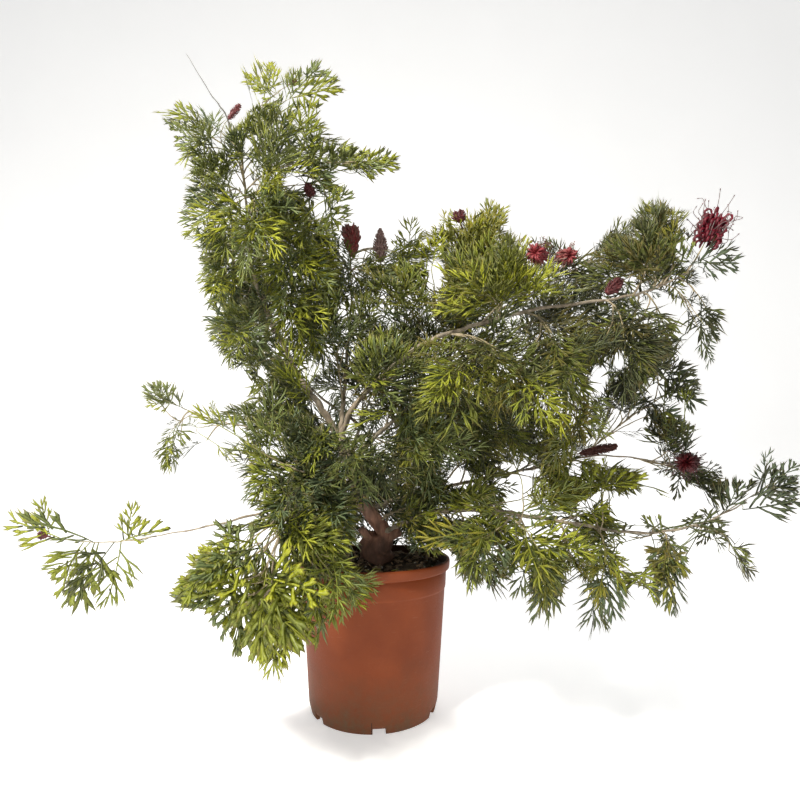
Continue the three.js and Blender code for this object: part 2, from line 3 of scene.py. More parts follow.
import bpy
import numpy as np
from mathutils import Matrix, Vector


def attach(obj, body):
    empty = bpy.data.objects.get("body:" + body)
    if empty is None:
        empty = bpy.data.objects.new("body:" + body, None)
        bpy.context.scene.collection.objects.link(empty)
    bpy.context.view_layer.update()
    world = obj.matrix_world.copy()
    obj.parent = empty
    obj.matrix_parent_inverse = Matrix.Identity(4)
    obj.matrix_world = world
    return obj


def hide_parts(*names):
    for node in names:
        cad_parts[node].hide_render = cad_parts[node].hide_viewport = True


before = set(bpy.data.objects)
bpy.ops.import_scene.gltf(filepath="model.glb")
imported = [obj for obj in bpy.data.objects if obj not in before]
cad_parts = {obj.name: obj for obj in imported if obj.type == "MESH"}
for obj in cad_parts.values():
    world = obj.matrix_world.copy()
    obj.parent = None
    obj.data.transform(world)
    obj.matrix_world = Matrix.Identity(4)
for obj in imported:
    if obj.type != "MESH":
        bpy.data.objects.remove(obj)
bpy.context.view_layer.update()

MM = 0.001
GOLDEN_TURN = math.radians(137.5)

# Pot
POT_HEIGHT = 179.5
POT_WALL = 2
RIM_RADIUS = 95
RIM_LIP = 4
GROOVE_HEIGHT = 167.3
STEP_HEIGHT = 145.4
STEP_RADIUS = 88.3
STEP_DEPTH = 0.9
HEEL_HEIGHT = 12
HEEL_RADIUS = 78.9
FOOT_RADIUS = 76.1
FOOT_WIDTH = 4.5
FLOOR_UNDERSIDE = 3
FLOOR_TOP = 5.5
BOSS_RADIUS = 12
NOTCH_COUNT = 6
NOTCH_WIDTH = 15.3
NOTCH_HEIGHT = 6.3
FIRST_NOTCH_ANGLE = math.radians(-85)
NOTCH_EDGE = 0.0015
NOTCH_STEPS = 6
WALL_STEPS = 22
CRACK_SIDE = 2
CRACK_WIDTH = 0.5
CRACK_HEIGHT = 14

# Soil
SOIL_EDGE_HEIGHT = 169
SOIL_MOUND = 6
SOIL_RADIUS = 88.2
SOIL_LUMP = 2.2
COARSE_LUMP = 10
FINE_LUMP = 5.2
SOIL_UNDERSIDE = 160.0
SOIL_RINGS = 46
SOIL_COLUMNS = 150
BIT_COUNT = 330
BIT_SIZES = (1.8, 5.5)
BIT_STRETCH = (1.0, 2.4)
PERLITE_EVERY = 8
PERLITE_SIZES = (1.4, 2.8)
FALLEN_LEAF_LENGTH = 11
FALLEN_LEAVES = ((-6, -66, 1.9), (8, -60, 2.8), (20, -68, 0.6), (48, -50, 3.6), (-22, -50, 1.2))

# Wood: the points that the stem and each branch pass through, and their radii
TRUNK_ROUTE = [
    [2, 0, 150],
    [2, 0, 178],
    [4, -2, 194],
    [12, -5, 211],
    [-11, -5, 243],
    [-30, -5, 290],
    [-45, 0, 330],
]
TRUNK_RADII = [16, 21, 20, 9.5, 8.7, 8, 7.5]
TRUNK_STEPS = 44
TRUNK_SIDES = 28
COLLAR_TOP = 205
COLLAR_KNOBS = 0.12
TRUNK_KNOBS = 0.05
BRANCH_KNOBS = 0.06
BRANCH_STEP = 6
BRANCH_SIDES = 12
BRANCH_SHARES = (0.78, 0.36)
BRANCHES = {
    "left": ([6.2, 2.6], [[-45, 0, 328], [-72, 8, 372], [-100, 20, 410], [-155, 40, 520], [-175, 45, 590],
            [-180, 45, 660], [-187, 38, 730]]),
    "centre": ([4.6, 2.2], [[-45, 0, 326], [-42, 30, 375], [-40, 60, 430], [-35, 100, 535],
            [-38, 106, 585]]),
    "long": ([4.8, 2.2], [[-45, 0, 326], [-20, -25, 375], [50, -60, 435], [115, -70, 460],
            [185, -80, 478], [285, -70, 495], [340, -60, 510], [390, -50, 535]]),
    "rise": ([4.6, 2.2], [[-30, -5, 290], [-5, 30, 325], [50, 60, 375], [140, 90, 460], [235, 100, 555]]),
    "low_back": ([4.2, 2], [[-9, -3, 236], [35, 30, 250], [145, 60, 272], [240, 75, 290], [325, 80, 305],
            [420, 70, 295]]),
    "low_front": ([4.2, 1.9], [[8, -4, 208], [65, -60, 240], [130, -85, 245], [205, -100, 235],
            [300, -90, 220], [375, -80, 228], [440, -70, 252]]),
    "droop": ([3.8, 2], [[-30, -5, 288], [-50, -60, 297], [-80, -110, 275], [-92, -150, 240],
            [-98, -168, 205]]),
    "far_left": ([3, 1.7], [[-18, -5, 256], [-60, -45, 262], [-120, -72, 245], [-180, -80, 230],
            [-245, -70, 217]]),
    "left_back": ([3, 1.7], [[-45, 0, 324], [-110, 40, 338], [-175, 60, 345], [-225, 72, 355]]),
    "back": ([4.2, 2], [[-30, -5, 292], [-25, 60, 330], [-10, 150, 385], [5, 205, 430]]),
    "back_right": ([3, 1.8], [[-19, 100, 354], [70, 160, 400], [170, 210, 440], [240, 225, 480]]),
    "back_left": ([3, 1.8], [[-20, 90, 348], [-90, 150, 400], [-150, 190, 470], [-170, 200, 530]]),
    "dead_twig": ([1.7, 0.9], [[-187, 38, 726], [-208, 25, 775], [-224, 20, 796], [-260, 20, 855]]),
    "stub_right": ([7, 6.2], [[8, -4, 198], [32, -12, 213]]),
    "stub_left": ([5, 4.4], [[0, -4, 196], [-16, -17, 216]]),
}

# Leafy sprays: name, branch, share of the branch's length where it starts, how far its middle bows up,
# how far its leaves lift, their age from 0 for new to 1 for old, the breadth of their lobes, the share of
# extra leaves, and the ends of the main shoot and the side shoots. The age also darkens leaves as painted
# shade: it is mostly set higher on the right side of the crown
SPRAYS = [
    ["top", "left", 1, 10, 0.3, 0.1, 1.45, 0.34, [[-126, 55, 836], [-82, 22, 806], [-168, 90, 842]]],
    ["top_left", "left", 0.93, 10, 0.1, 0.28, 1.15, 0.5, [[-262, 60, 765], [-245, 5, 705],
     [-213, 62, 785]]],
    ["left_high", "left", 0.84, 5, 0, 0.43, 0.95, 0.8, [[-250, 95, 695], [-238, 30, 630]]],
    ["left_middle", "left", 0.62, 0, 0, 0.38, 0.9, 1, [[-208, 78, 592], [-205, 5, 535]]],
    ["left_low", "left", 0.42, 0, -0.1, 0.58, 0.85, 1, [[-178, 20, 485], [-160, -60, 455]]],
    ["inner_high", "left", 0.86, 10, 0.2, 0.35, 1.1, 0.8, [[-34, 0, 690], [-62, 48, 735], [-98, 30, 682]]],
    ["inner_middle", "left", 0.66, 5, 0, 0.08, 1.1, 1, [[-66, -22, 606]]],
    ["front_high", "left", 0.76, 5, 0, 0.13, 1.1, 1, [[-120, -62, 655], [-150, -58, 580]]],
    ["back_high", "left", 0.6, 10, 0, 0.73, 0.85, 0.8, [[-140, 165, 640], [-222, 150, 690],
     [-185, 155, 550]]],
    ["centre_top", "centre", 1, 5, 0.2, 0.5, 0.95, 1, [[-34, 102, 612], [8, 88, 582], [52, 62, 585]]],
    ["centre_middle", "centre", 0.62, 5, 0, 0.63, 0.8, 1, [[-62, 188, 590], [-78, 52, 500]]],
    ["rise_high", "rise", 0.72, 5, 0.1, 0.3, 1, 1, [[130, 92, 640], [182, 112, 650]]],
    ["rise_near", "rise", 0.56, 5, 0.1, 0.35, 1, 1, [[76, 22, 560], [150, -5, 540]]],
    ["rise_tip", "rise", 1, 5, 0, 0.78, 0.95, 1, [[300, 128, 630], [238, 62, 590], [278, 92, 600]]],
    ["rise_far", "rise", 0.93, 5, 0, 0.85, 0.9, 0.8, [[375, 150, 620], [350, 172, 555]]],
    ["rise_back", "rise", 0.8, 5, 0, 0.9, 0.85, 0.8, [[220, 230, 610], [150, 205, 560]]],
    ["long_tip", "long", 1, 5, 0, 0.8, 0.95, 0.8, [[416, -50, 575], [388, -84, 546]]],
    ["long_high", "long", 0.78, 10, 0.1, 0.8, 0.9, 1, [[358, -28, 605], [292, -58, 512]]],
    ["long_hanging", "long", 0.9, 10, -0.4, 1, 0.9, 0.3, [[372, -112, 440], [405, -60, 425]]],
    ["long_low_far", "long", 0.7, 10, -0.3, 0.9, 0.85, 1, [[272, -128, 410]]],
    ["long_low_near", "long", 0.55, 10, -0.2, 0.7, 0.85, 1, [[195, -150, 405], [218, -132, 340]]],
    ["long_rising", "long", 0.45, 5, 0.2, 0.25, 1.1, 1, [[185, -40, 545], [105, -92, 500]]],
    ["long_front", "long", 0.36, 10, -0.1, 0.6, 0.9, 1, [[150, -185, 375], [78, -142, 385]]],
    ["low_back_bud", "low_back", 0.55, 5, 0, 0.7, 0.85, 1, [[284, 62, 307], [215, 105, 360]]],
    ["low_back_high", "low_back", 0.72, 10, 0, 0.95, 1, 0.5, [[395, 75, 385], [408, 42, 370],
     [430, 92, 440]]],
    ["low_back_tip", "low_back", 1, 5, -0.1, 1, 1.3, 0.2, [[500, 62, 278], [425, 22, 296]]],
    ["low_back_near", "low_back", 0.35, 5, 0, 0.6, 0.85, 1, [[118, 28, 340], [182, 82, 215]]],
    ["low_back_rear", "low_back", 0.6, 5, -0.1, 0.8, 0.85, 0.8, [[290, 190, 320]]],
    ["low_front_tip", "low_front", 0.9, 5, -0.1, 0.9, 1.4, 0.2, [[498, -60, 280], [405, -105, 225]]],
    ["low_front_broad", "low_front", 0.72, 10, -0.4, 0.5, 1.6, 0.5, [[312, -130, 195], [345, -40, 200]]],
    ["low_front_middle", "low_front", 0.57, 10, -0.3, 0.45, 1, 1, [[240, -140, 190], [256, -92, 285]]],
    ["low_front_near", "low_front", 0.34, 10, -0.3, 0.5, 0.95, 1, [[172, -148, 205], [106, -145, 222],
     [160, -112, 285]]],
    ["droop_tip", "droop", 1, 0, -0.5, 0.05, 1.9, 0.3, [[-92, -200, 172], [-138, -182, 190]]],
    ["droop_left", "droop", 0.78, 5, -0.3, 0.22, 1.7, 0.3, [[-172, -165, 198], [-168, -118, 232]]],
    ["droop_right", "droop", 0.62, 5, -0.3, 0.35, 1, 0.3, [[-36, -165, 188]]],
    ["droop_near", "droop", 0.4, 5, -0.1, 0.4, 1, 0.8, [[-140, -82, 310]]],
    ["stem_front", "trunk", 0.86, 5, 0, 0.6, 0.8, 1, [[-28, -122, 300], [55, -118, 325]]],
    ["stem_left", "trunk", 0.95, 5, 0, 0.68, 0.8, 1, [[-138, -32, 352]]],
    ["far_left_tip", "far_left", 1, -8, 0.1, 0.2, 1.5, 0.2, [[-372, -50, 214]]],
    ["left_back_tip", "left_back", 1, 0, 0, 0.2, 1.1, 0.3, [[-308, 88, 390], [-282, 42, 322]]],
    ["back_tip", "back", 1, 10, 0, 0.5, 1, 0.8, [[0, 265, 515], [62, 262, 465]]],
    ["back_low", "back", 0.62, 10, -0.1, 0.63, 0.9, 0.8, [[-72, 248, 420], [60, 215, 335]]],
    ["back_right_tip", "back_right", 0.9, 5, 0, 0.72, 1, 0.8, [[272, 258, 525], [312, 220, 440],
     [165, 285, 450]]],
    ["back_left_tip", "back_left", 0.9, 5, 0, 0.43, 1, 0.8, [[-188, 230, 595], [-232, 190, 510],
     [-165, 255, 440]]],
]

# Sprays that fill the crown between those of the solids; their ages too are partly painted shade, mostly
# higher on the right side of the crown
FILLING = [
    ["low_left_inner", "trunk", 0.74, 5, 0, 0.5, 0.9, 1, [[-95, -65, 280], [-112, -80, 245],
     [-75, -85, 300]]],
    ["pot_left", "trunk", 0.62, 10, 0, 0.5, 0.9, 1, [[-62, -75, 232], [-35, -98, 250], [-88, -50, 240]]],
    ["pot_right", "trunk", 0.55, 10, 0, 0.55, 0.9, 1, [[62, -72, 235], [35, -68, 222], [85, -40, 252]]],
    ["pot_right_low", "low_front", 0.2, 5, 0, 0.55, 0.9, 1, [[95, -55, 240], [88, -100, 228],
     [70, -30, 270]]],
    ["pot_back", "trunk", 0.5, 10, 0, 0.7, 0.9, 0.8, [[40, 40, 232], [-35, 45, 240]]],
    ["column_right", "left", 0.72, 5, 0.1, 0.23, 1, 1, [[-82, 25, 570], [-88, -8, 540], [-112, 30, 500]]],
    ["column_low", "left", 0.5, 5, 0, 0.53, 0.9, 1, [[-100, -15, 505], [-80, 40, 465]]],
    ["gap_left", "centre", 0.22, 5, 0, 0.6, 0.9, 0.7, [[-60, 5, 470], [-20, 20, 440]]],
    ["gap_middle", "back", 0.4, 5, 0, 0.95, 0.9, 1, [[-5, 80, 450], [28, 62, 415], [35, 90, 375]]],
    ["middle_front", "long", 0.2, 5, 0, 0.65, 0.85, 1, [[60, -90, 345], [20, -95, 330], [75, -40, 390]]],
    ["middle_left", "trunk", 0.98, 5, 0, 0.53, 0.85, 1, [[-75, -45, 355], [-95, -20, 395],
     [-60, -75, 330]]],
    ["long_upper", "long", 0.86, 5, 0, 0.8, 0.95, 1, [[352, -45, 562], [335, -52, 540], [322, -20, 575]]],
    ["long_under", "long", 0.82, 5, -0.1, 0.85, 0.9, 1, [[345, -75, 462], [315, -40, 455]]],
    ["bloom_right", "low_back", 0.9, 5, 0, 0.85, 1, 0.8, [[440, 40, 275], [425, 30, 345], [400, 60, 330]]],
    ["front_right", "low_front", 0.5, 5, -0.1, 0.55, 1, 1, [[252, -62, 240], [235, -70, 268],
     [215, -90, 200]]],
    ["front_under", "low_front", 0.4, 5, -0.2, 0.55, 1, 1, [[170, -95, 205], [140, -70, 225]]],
    ["droop_middle", "droop", 0.85, 0, -0.5, 0.06, 1.9, 0.4, [[-118, -190, 175], [-100, -192, 195],
     [-135, -180, 190]]],
    ["droop_inner", "droop", 0.6, 5, -0.3, 0.35, 1.2, 0.6, [[-108, -138, 225], [-125, -120, 240],
     [-80, -150, 240]]],
    ["inner_right", "left", 0.9, 8, 0.2, 0.1, 1.4, 0.34, [[-30, 8, 682], [-60, 0, 655], [-48, 20, 640]]],
    ["left_top", "left", 0.98, 5, 0.1, 0.23, 1.3, 0.34, [[-252, 38, 770], [-232, 30, 740]]],
    ["olive_tuft", "rise", 0.66, 8, 0.25, -0.1, 1, 1, [[138, 65, 622], [112, 55, 600], [168, 88, 640]]],
    ["column_edge", "centre", 0.9, 5, 0, 0.5, 0.95, 1, [[-15, 70, 560], [-38, 60, 540]]],
    ["column_base", "left", 0.35, 5, 0, 0.48, 0.9, 1, [[-180, 8, 448], [-155, -20, 410]]],
    ["left_back_low", "left_back", 0.8, 0, -0.2, 0.7, 1.1, 0.3, [[-268, 52, 335], [-258, 60, 295]]],
    ["droop_low", "droop", 0.95, 0, -0.5, 0.05, 1.7, 0.5, [[-95, -188, 140], [-112, -182, 152],
     [-75, -172, 150]]],
    ["droop_pot", "droop", 0.7, 0, -0.4, 0.4, 1.1, 0.5, [[-30, -148, 172], [-62, -145, 165]]],
    ["middle_right", "long", 0.28, 5, -0.1, 0.5, 0.85, 1, [[128, -35, 335], [108, -20, 305],
     [165, 10, 320]]],
    ["front_fringe", "low_front", 0.5, 5, -0.4, 0.7, 1, 0.8, [[205, -98, 175], [188, -108, 165],
     [240, -105, 160]]],
    ["bloom_left", "long", 0.88, 5, 0.1, 0.85, 1, 1, [[378, -30, 545], [362, -18, 560], [380, 0, 590]]],
    ["hanging_right", "low_back", 0.75, 5, -0.1, 0.9, 1, 0.8, [[332, 60, 380], [350, 70, 410]]],
    ["stem_leaves", "low_back", 0.98, 0, 0, 0.85, 1, 0.5, [[428, 35, 280], [405, 60, 318]]],
    ["fringe_right", "low_front", 0.82, 0, -0.5, 1, 1.1, 0.5, [[432, -80, 200], [405, -85, 215]]],
    ["rim_back", "trunk", 0.35, 5, 0, 0.7, 0.9, 0.8, [[55, 72, 192], [-40, 70, 195], [85, 45, 200]]],
    ["droop_front", "droop", 0.5, 5, -0.2, 0.65, 0.9, 1, [[-90, -138, 258], [-60, -140, 232],
     [-125, -105, 262]]],
    ["low_left_front", "trunk", 0.8, 5, 0, 0.6, 0.9, 1, [[-115, -108, 292], [-72, -118, 278],
     [-48, -115, 248]]],
    ["middle_back", "back", 0.35, 5, 0, 0.9, 0.9, 1, [[10, 70, 325], [65, 60, 290], [90, 60, 380]]],
    ["middle_back_high", "rise", 0.35, 5, 0, 1, 0.9, 1, [[35, 80, 510], [20, 70, 430], [70, 80, 458]]],
    ["middle_back_low", "trunk", 0.7, 5, 0, 0.9, 0.9, 1, [[-60, 65, 275], [-15, 75, 262], [30, 70, 250]]],
    ["middle_back_right", "low_back", 0.3, 5, 0, 1, 0.9, 0.8, [[145, 62, 350], [205, 70, 345],
     [120, 60, 300]]],
    ["long_back", "rise", 0.8, 5, 0, 1, 0.9, 1, [[320, 62, 480], [285, 90, 430], [300, 80, 520]]],
    ["left_edge", "left", 0.66, 5, 0, 0.43, 1, 1, [[-205, 55, 590], [-225, 40, 560], [-200, 60, 540]]],
    ["top_middle", "left", 0.92, 5, 0.1, 0.28, 1.1, 1, [[-105, 20, 748], [-145, 20, 762], [-170, 18, 715]]],
    ["tip_right", "low_front_tip", 0.7, 0, 0.1, 1, 1.2, 0.6, [[500, -62, 268], [508, -60, 262]]],
    ["tip_inner", "low_front_tip", 0.3, 0, 0.1, 0.95, 1.2, 0.5, [[435, -66, 270], [422, -66, 280]]],
    ["hang_right", "long", 0.96, 5, -0.4, 1, 1.2, 0.3, [[415, -62, 465], [425, -60, 455], [400, -62, 490]]],
    ["bloom_under", "long", 0.97, 0, 0.1, 1, 1.2, 0.3, [[440, -55, 545], [425, -50, 540], [452, -58, 552]]],
    ["bloom_inner", "long", 0.9, 5, 0.1, 0.6, 1.1, 0.8, [[388, -45, 570], [382, -42, 592],
     [370, -44, 535]]],
    ["branch_right", "long", 0.86, 0, 0.1, 0.9, 0.9, 0.8, [[348, -48, 518], [368, -50, 530],
     [335, -40, 505]]],
    ["right_column", "low_back_high", 0.6, 5, 0, 1, 1, 0.6, [[448, 62, 405], [456, 62, 380],
     [400, 62, 448]]],
    ["cone_base", "centre", 0.95, 5, 0.2, 0.55, 0.9, 1, [[-20, 92, 582], [-42, 90, 562], [10, 88, 565]]],
    ["cone_right", "centre_top", 0.5, 5, 0.2, 0.2, 1.1, 0.8, [[34, 80, 600], [18, 85, 570], [45, 75, 575]]],
    ["fork_back", "left_back", 0.2, 5, 0.1, 0.73, 0.9, 0.8, [[-95, 80, 372], [-118, 80, 392],
     [-68, 82, 360]]],
    ["fork_low", "back", 0.25, 5, 0, 0.78, 0.9, 1, [[-85, 70, 345], [-50, 75, 325], [-100, 60, 325]]],
    ["droop_wide", "droop", 0.8, 0, -0.4, 0.02, 1.9, 0.4, [[-132, -172, 205], [-118, -172, 188],
     [-150, -165, 190]]],
    ["droop_wide_low", "droop_tip", 0.4, 0, -0.4, 0.02, 1.9, 0.4, [[-140, -178, 172], [-115, -182, 158],
     [-105, -180, 175]]],
    ["left_back_grey", "left_back_tip", 0.4, 0, -0.1, 0.7, 1, 0.5, [[-275, 68, 328], [-260, 66, 292],
     [-312, 80, 398]]],
    ["left_back_hanging", "left_back", 0.9, 0, -0.3, 0.8, 1, 0.5, [[-248, 68, 268], [-262, 66, 285]]],
    ["low_back_under", "low_back", 0.45, 5, -0.1, 0.7, 0.9, 0.8, [[195, 22, 278], [170, 20, 262],
     [225, 22, 272]]],
    ["low_back_wide", "low_back", 0.7, 5, -0.1, 0.6, 1, 0.8, [[320, 42, 265], [342, 40, 282],
     [300, 45, 280]]],
    ["low_back_end", "low_back", 0.9, 5, -0.1, 0.9, 1, 0.5, [[420, 50, 272], [438, 48, 285]]],
    ["front_end", "low_front", 0.7, 5, 0, 0.5, 1.2, 0.8, [[322, -80, 225], [340, -78, 248],
     [300, -85, 235]]],
    ["front_far", "low_front", 0.85, 0, -0.2, 0.7, 1.1, 0.5, [[375, -82, 218], [360, -84, 205]]],
    ["pot_side", "low_front", 0.25, 0, -0.3, 0.75, 0.9, 0.8, [[98, -90, 195], [82, -80, 208],
     [118, -92, 215]]],
    ["pot_side_low", "low_front", 0.35, 0, -0.4, 0.8, 1, 0.5, [[130, -100, 175], [112, -98, 190]]],
    ["fringe_low", "low_front", 0.52, 0, -0.6, 0.8, 1.1, 0.4, [[245, -108, 140], [232, -108, 155],
     [250, -100, 165]]],
    ["inner_back", "left", 0.84, 5, 0.1, 0.43, 1, 0.8, [[-105, 35, 662], [-78, 32, 678], [-120, 40, 690]]],
    ["top_stem", "left", 0.9, 5, 0.2, 0.53, 0.9, 0.8, [[-185, 22, 722], [-190, 30, 690], [-215, 40, 760]]],
    ["top_right", "top", 0.5, 5, 0.3, 0.08, 1.3, 0.34, [[-102, 38, 838], [-78, 34, 842]]],
    ["inner_tip", "inner_high", 0.8, 0, 0.2, 0.15, 1.3, 0.5, [[5, 8, 702], [-8, 8, 690]]],
    ["tuft_left", "rise_high", 0.6, 0, 0.2, 0.1, 1, 0.8, [[112, 72, 650], [98, 70, 625]]],
    ["far_tuft", "rise_far", 0.7, 0, 0.2, 0.68, 1, 0.8, [[372, 100, 640], [350, 110, 635]]],
    ["trunk_back", "trunk", 0.6, 0, 0.1, 0.75, 0.9, 1, [[12, 60, 232], [-28, 60, 228], [40, 55, 240]]],
    ["branch_cover", "long", 0.12, 5, 0, 0.5, 1, 0.8, [[8, -80, 395], [22, -85, 410], [-5, -75, 385]]],
    ["branch_bright", "long", 0.48, 5, 0, 0, 1.2, 0.8, [[150, -98, 495], [185, -98, 485], [122, -95, 480]]],
    ["bright_low", "low_back", 0.52, 5, 0, 0, 1, 1, [[235, 15, 320], [258, 10, 305], [225, 10, 335]]],
    ["bright_low_right", "low_back", 0.68, 5, 0.1, 0.15, 1.2, 0.8, [[318, -5, 275], [328, 0, 284],
     [300, 0, 262]]],
    ["cone_left", "centre", 0.9, 5, 0.2, 0.55, 0.9, 0.8, [[-57, 60, 596], [-70, 55, 575]]],
    ["cone_front", "centre", 0.95, 5, 0.2, 0.35, 1, 0.8, [[-25, 50, 545], [0, 50, 560]]],
    ["right_hole", "long", 0.8, 0, -0.3, 0.9, 0.9, 0.8, [[312, 20, 432], [298, 30, 450]]],
    ["right_low_hole", "low_back_high", 0.5, 0, -0.2, 0.9, 1, 0.5, [[355, 40, 355], [340, 45, 370]]],
    ["front_cover", "low_front", 0.3, 5, 0.2, 0.4, 1, 0.8, [[147, -90, 249], [165, -92, 258],
     [120, -92, 245]]],
    ["front_cover_right", "low_front", 0.45, 5, 0.1, 0.35, 1.1, 0.8, [[192, -92, 240], [215, -90, 248]]],
    ["front_cover_left", "low_front", 0.15, 5, 0.1, 0.45, 1, 0.8, [[107, -92, 236], [88, -88, 248]]],
    ["front_gap", "low_front", 0.7, 0, -0.3, 0.5, 1.2, 0.5, [[305, -80, 205], [290, -82, 215]]],
    ["pot_side_top", "low_front", 0.15, 0, -0.4, 0.8, 0.9, 0.8, [[92, -92, 190], [80, -92, 200]]],
    ["column_side", "left", 0.55, 5, 0, 0.55, 0.9, 0.8, [[-196, 80, 438], [-216, 75, 430]]],
    ["stem_leaf", "left", 0.85, 5, 0.2, 0.45, 0.9, 0.6, [[-181, 10, 693], [-190, 15, 715]]],
    ["long_behind", "rise", 0.6, 0, 0, 0.9, 0.9, 0.8, [[112, 75, 455], [160, 85, 452], [85, 70, 470]]],
    ["droop_low_left", "droop_tip", 0.5, 0, -0.4, 0.12, 1.9, 0.4, [[-153, -160, 136], [-165, -160, 150]]],
]

# Where the plant is seen from
EYE = np.array([0, -742, 316.6])

# Places in the photo, which is 800 pixels square, are read with this eye, turn and focal length
PHOTO_EYE = np.array([0, -742, 317])
PHOTO_PITCH = 0.082
PHOTO_YAW = 0.044
PHOTO_FOCUS = 577
PHOTO_MIDDLE = 400
# The crown's outline, in pixels across and down
OUTLINE_PIXELS = [
    (446, 545), (441, 560), (402, 571), (386, 580), (378, 594), (366, 612), (345, 626), (328, 625),
    (318, 640), (312, 656), (301, 650), (289.5, 657), (279, 685), (267, 688), (265, 658), (250, 662),
    (238, 655), (222, 634), (208, 611), (172, 606), (176, 587), (183, 572), (192, 552), (203, 540),
    (214, 531), (160, 535), (128, 545), (118, 546), (114, 570), (106, 612), (75, 612), (42, 600),
    (44, 584), (62, 572), (80, 556), (60, 545), (38, 540), (18, 532), (0, 523), (4, 514), (22, 502),
    (42, 497), (54, 506), (64, 528), (84, 536), (112, 538), (116, 518), (130, 503), (152, 499),
    (162, 506), (172, 524), (214, 524), (222, 514), (248, 512), (236, 500), (242, 484), (230, 466),
    (222, 456), (205, 442), (192, 450), (178, 476), (163, 474), (160, 450), (170, 430), (184, 420),
    (176, 405), (160, 408), (143, 405), (143, 379), (168, 377), (190, 396), (212, 398), (236, 402),
    (240, 384), (217, 352), (203, 330), (208, 302), (192, 278), (200, 258), (186, 240), (177, 220),
    (186, 198), (189, 182), (173, 160), (177, 144), (168, 130), (157, 124), (158, 104), (184, 102),
    (202, 108), (222, 120), (230, 96), (250, 98), (238, 68), (245, 60), (262, 57), (280, 62), (296, 68),
    (312, 59), (326, 61), (336, 76), (345, 88), (330, 102), (318, 112), (326, 122), (342, 140),
    (356, 146), (388, 144), (400, 160), (394, 172), (368, 182), (352, 184), (346, 196), (352, 204),
    (345, 216), (338, 228), (352, 240), (372, 250), (392, 252), (402, 240), (430, 230), (440, 212),
    (452, 206), (466, 206), (480, 213), (488, 199), (496, 196), (505, 208), (504, 226), (516, 228),
    (528, 238), (552, 238), (572, 244), (582, 258), (600, 244), (608, 234), (617, 216), (628, 219),
    (640, 206), (644, 192), (660, 196), (668, 209), (690, 212), (696, 240), (702, 262), (728, 262),
    (736, 254), (750, 262), (744, 272), (716, 275), (700, 284), (684, 289), (704, 293), (722, 302),
    (730, 324), (721, 340), (707, 346), (715, 366), (705, 364), (693, 334), (676, 306), (662, 297),
    (654, 302), (660, 313), (681, 321), (682, 346), (677, 356), (687, 367), (694, 379), (704, 389),
    (700, 410), (690, 403), (674, 409), (686, 415), (698, 430), (692, 438), (664, 438), (690, 442),
    (703, 456), (706, 470), (722, 479), (737, 473), (757, 470), (761, 478), (749, 490), (736, 497),
    (723, 511), (740, 510), (758, 502), (766, 492), (768, 480), (765, 452), (772, 447), (785, 453),
    (784, 470), (800, 464), (803, 500), (778, 507), (758, 511), (742, 517), (722, 527), (734, 536),
    (750, 546), (752, 560), (760, 586), (748, 582), (734, 562), (714, 550), (698, 546), (686, 530),
    (675, 535), (676, 545), (688, 553), (678, 560), (690, 569), (688, 582), (676, 588), (680, 603),
    (672, 612), (673, 624), (661, 618), (650, 592), (640, 594), (630, 582), (622, 594), (616, 604),
    (606, 598), (605, 612), (613, 634), (600, 630), (590, 640), (581, 632), (590, 612), (592, 600),
    (583, 580), (573, 570), (566, 586), (561, 600), (566, 612), (553, 624), (544, 621), (523, 600),
    (529, 580), (533, 567), (519, 566), (508, 586), (501, 599), (494, 599), (489, 582), (478, 580),
    (472, 594), (464, 585), (457, 560), (452, 550),
]
# See-through gaps in the crown, in pixels: centre, half-width and half-height
GAP_PIXELS = [
    (219, 136, 7, 16), (435, 277, 8, 14), (513, 468, 6, 5), (459, 480, 12, 9), (517, 484, 19, 9),
    (514, 501, 10, 9), (533, 470, 5, 8), (575, 469, 6, 10), (460, 515, 22, 6), (524, 524, 9, 6),
    (548, 514, 18, 3), (563, 530, 6, 4), (494, 541, 4, 4), (494, 551, 5, 5), (483, 558, 4, 6),
    (570, 577, 8, 6), (586, 505, 8, 7), (606, 497, 12, 6), (634, 557, 14, 16), (624, 541, 15, 6),
    (655, 545, 6, 4), (602, 578, 9, 5), (630, 450, 20, 12), (648, 478, 8, 24), (636, 508, 26, 16),
    (688, 499, 18, 13), (668, 512, 10, 14), (628, 422, 22, 9), (655, 390, 9, 12), (599, 377, 8, 14),
    (620, 361, 7, 8), (657, 294, 8, 4), (686, 252, 10, 13), (343, 313, 5, 9), (597, 392, 4, 5),
    (294, 182, 11, 9), (244, 178, 5, 16), (257, 187, 4, 8), (286, 102, 5, 13), (305, 92, 5, 12),
    (321, 209, 8, 11), (338, 176, 6, 9), (306, 281, 5, 5), (248, 147, 3, 12), (242, 203, 6, 5),
    (263, 373, 5, 8), (355, 275, 5, 6), (322, 402, 7, 10), (276, 451, 10, 5), (284, 475, 4, 6),
    (267, 536, 5, 9), (276, 545, 5, 13), (245, 536, 4, 9), (243, 553, 8, 5), (233, 544, 4, 4),
    (224, 575, 7, 4), (222, 596, 3, 7), (235, 607, 7, 5), (250, 646, 5, 6), (271, 642, 4, 5),
    (247, 624, 4, 3), (86, 548, 26, 6), (215, 436, 14, 9), (236, 110, 14, 14), (418, 488, 4, 4),
]
# More gaps, in millimetres on the upright plane through the pot's axis
CROWN_GAPS = [
    (-172, 235, 28, 12), (-175, 395, 17, 22), (-170, 335, 8, 10), (-150, 781, 18, 10), (-40, 746, 14, 21),
    (397, 370, 9, 13), (322, 303, 26, 12), (-254, 728, 9, 7), (-45, 742, 8, 8),
]
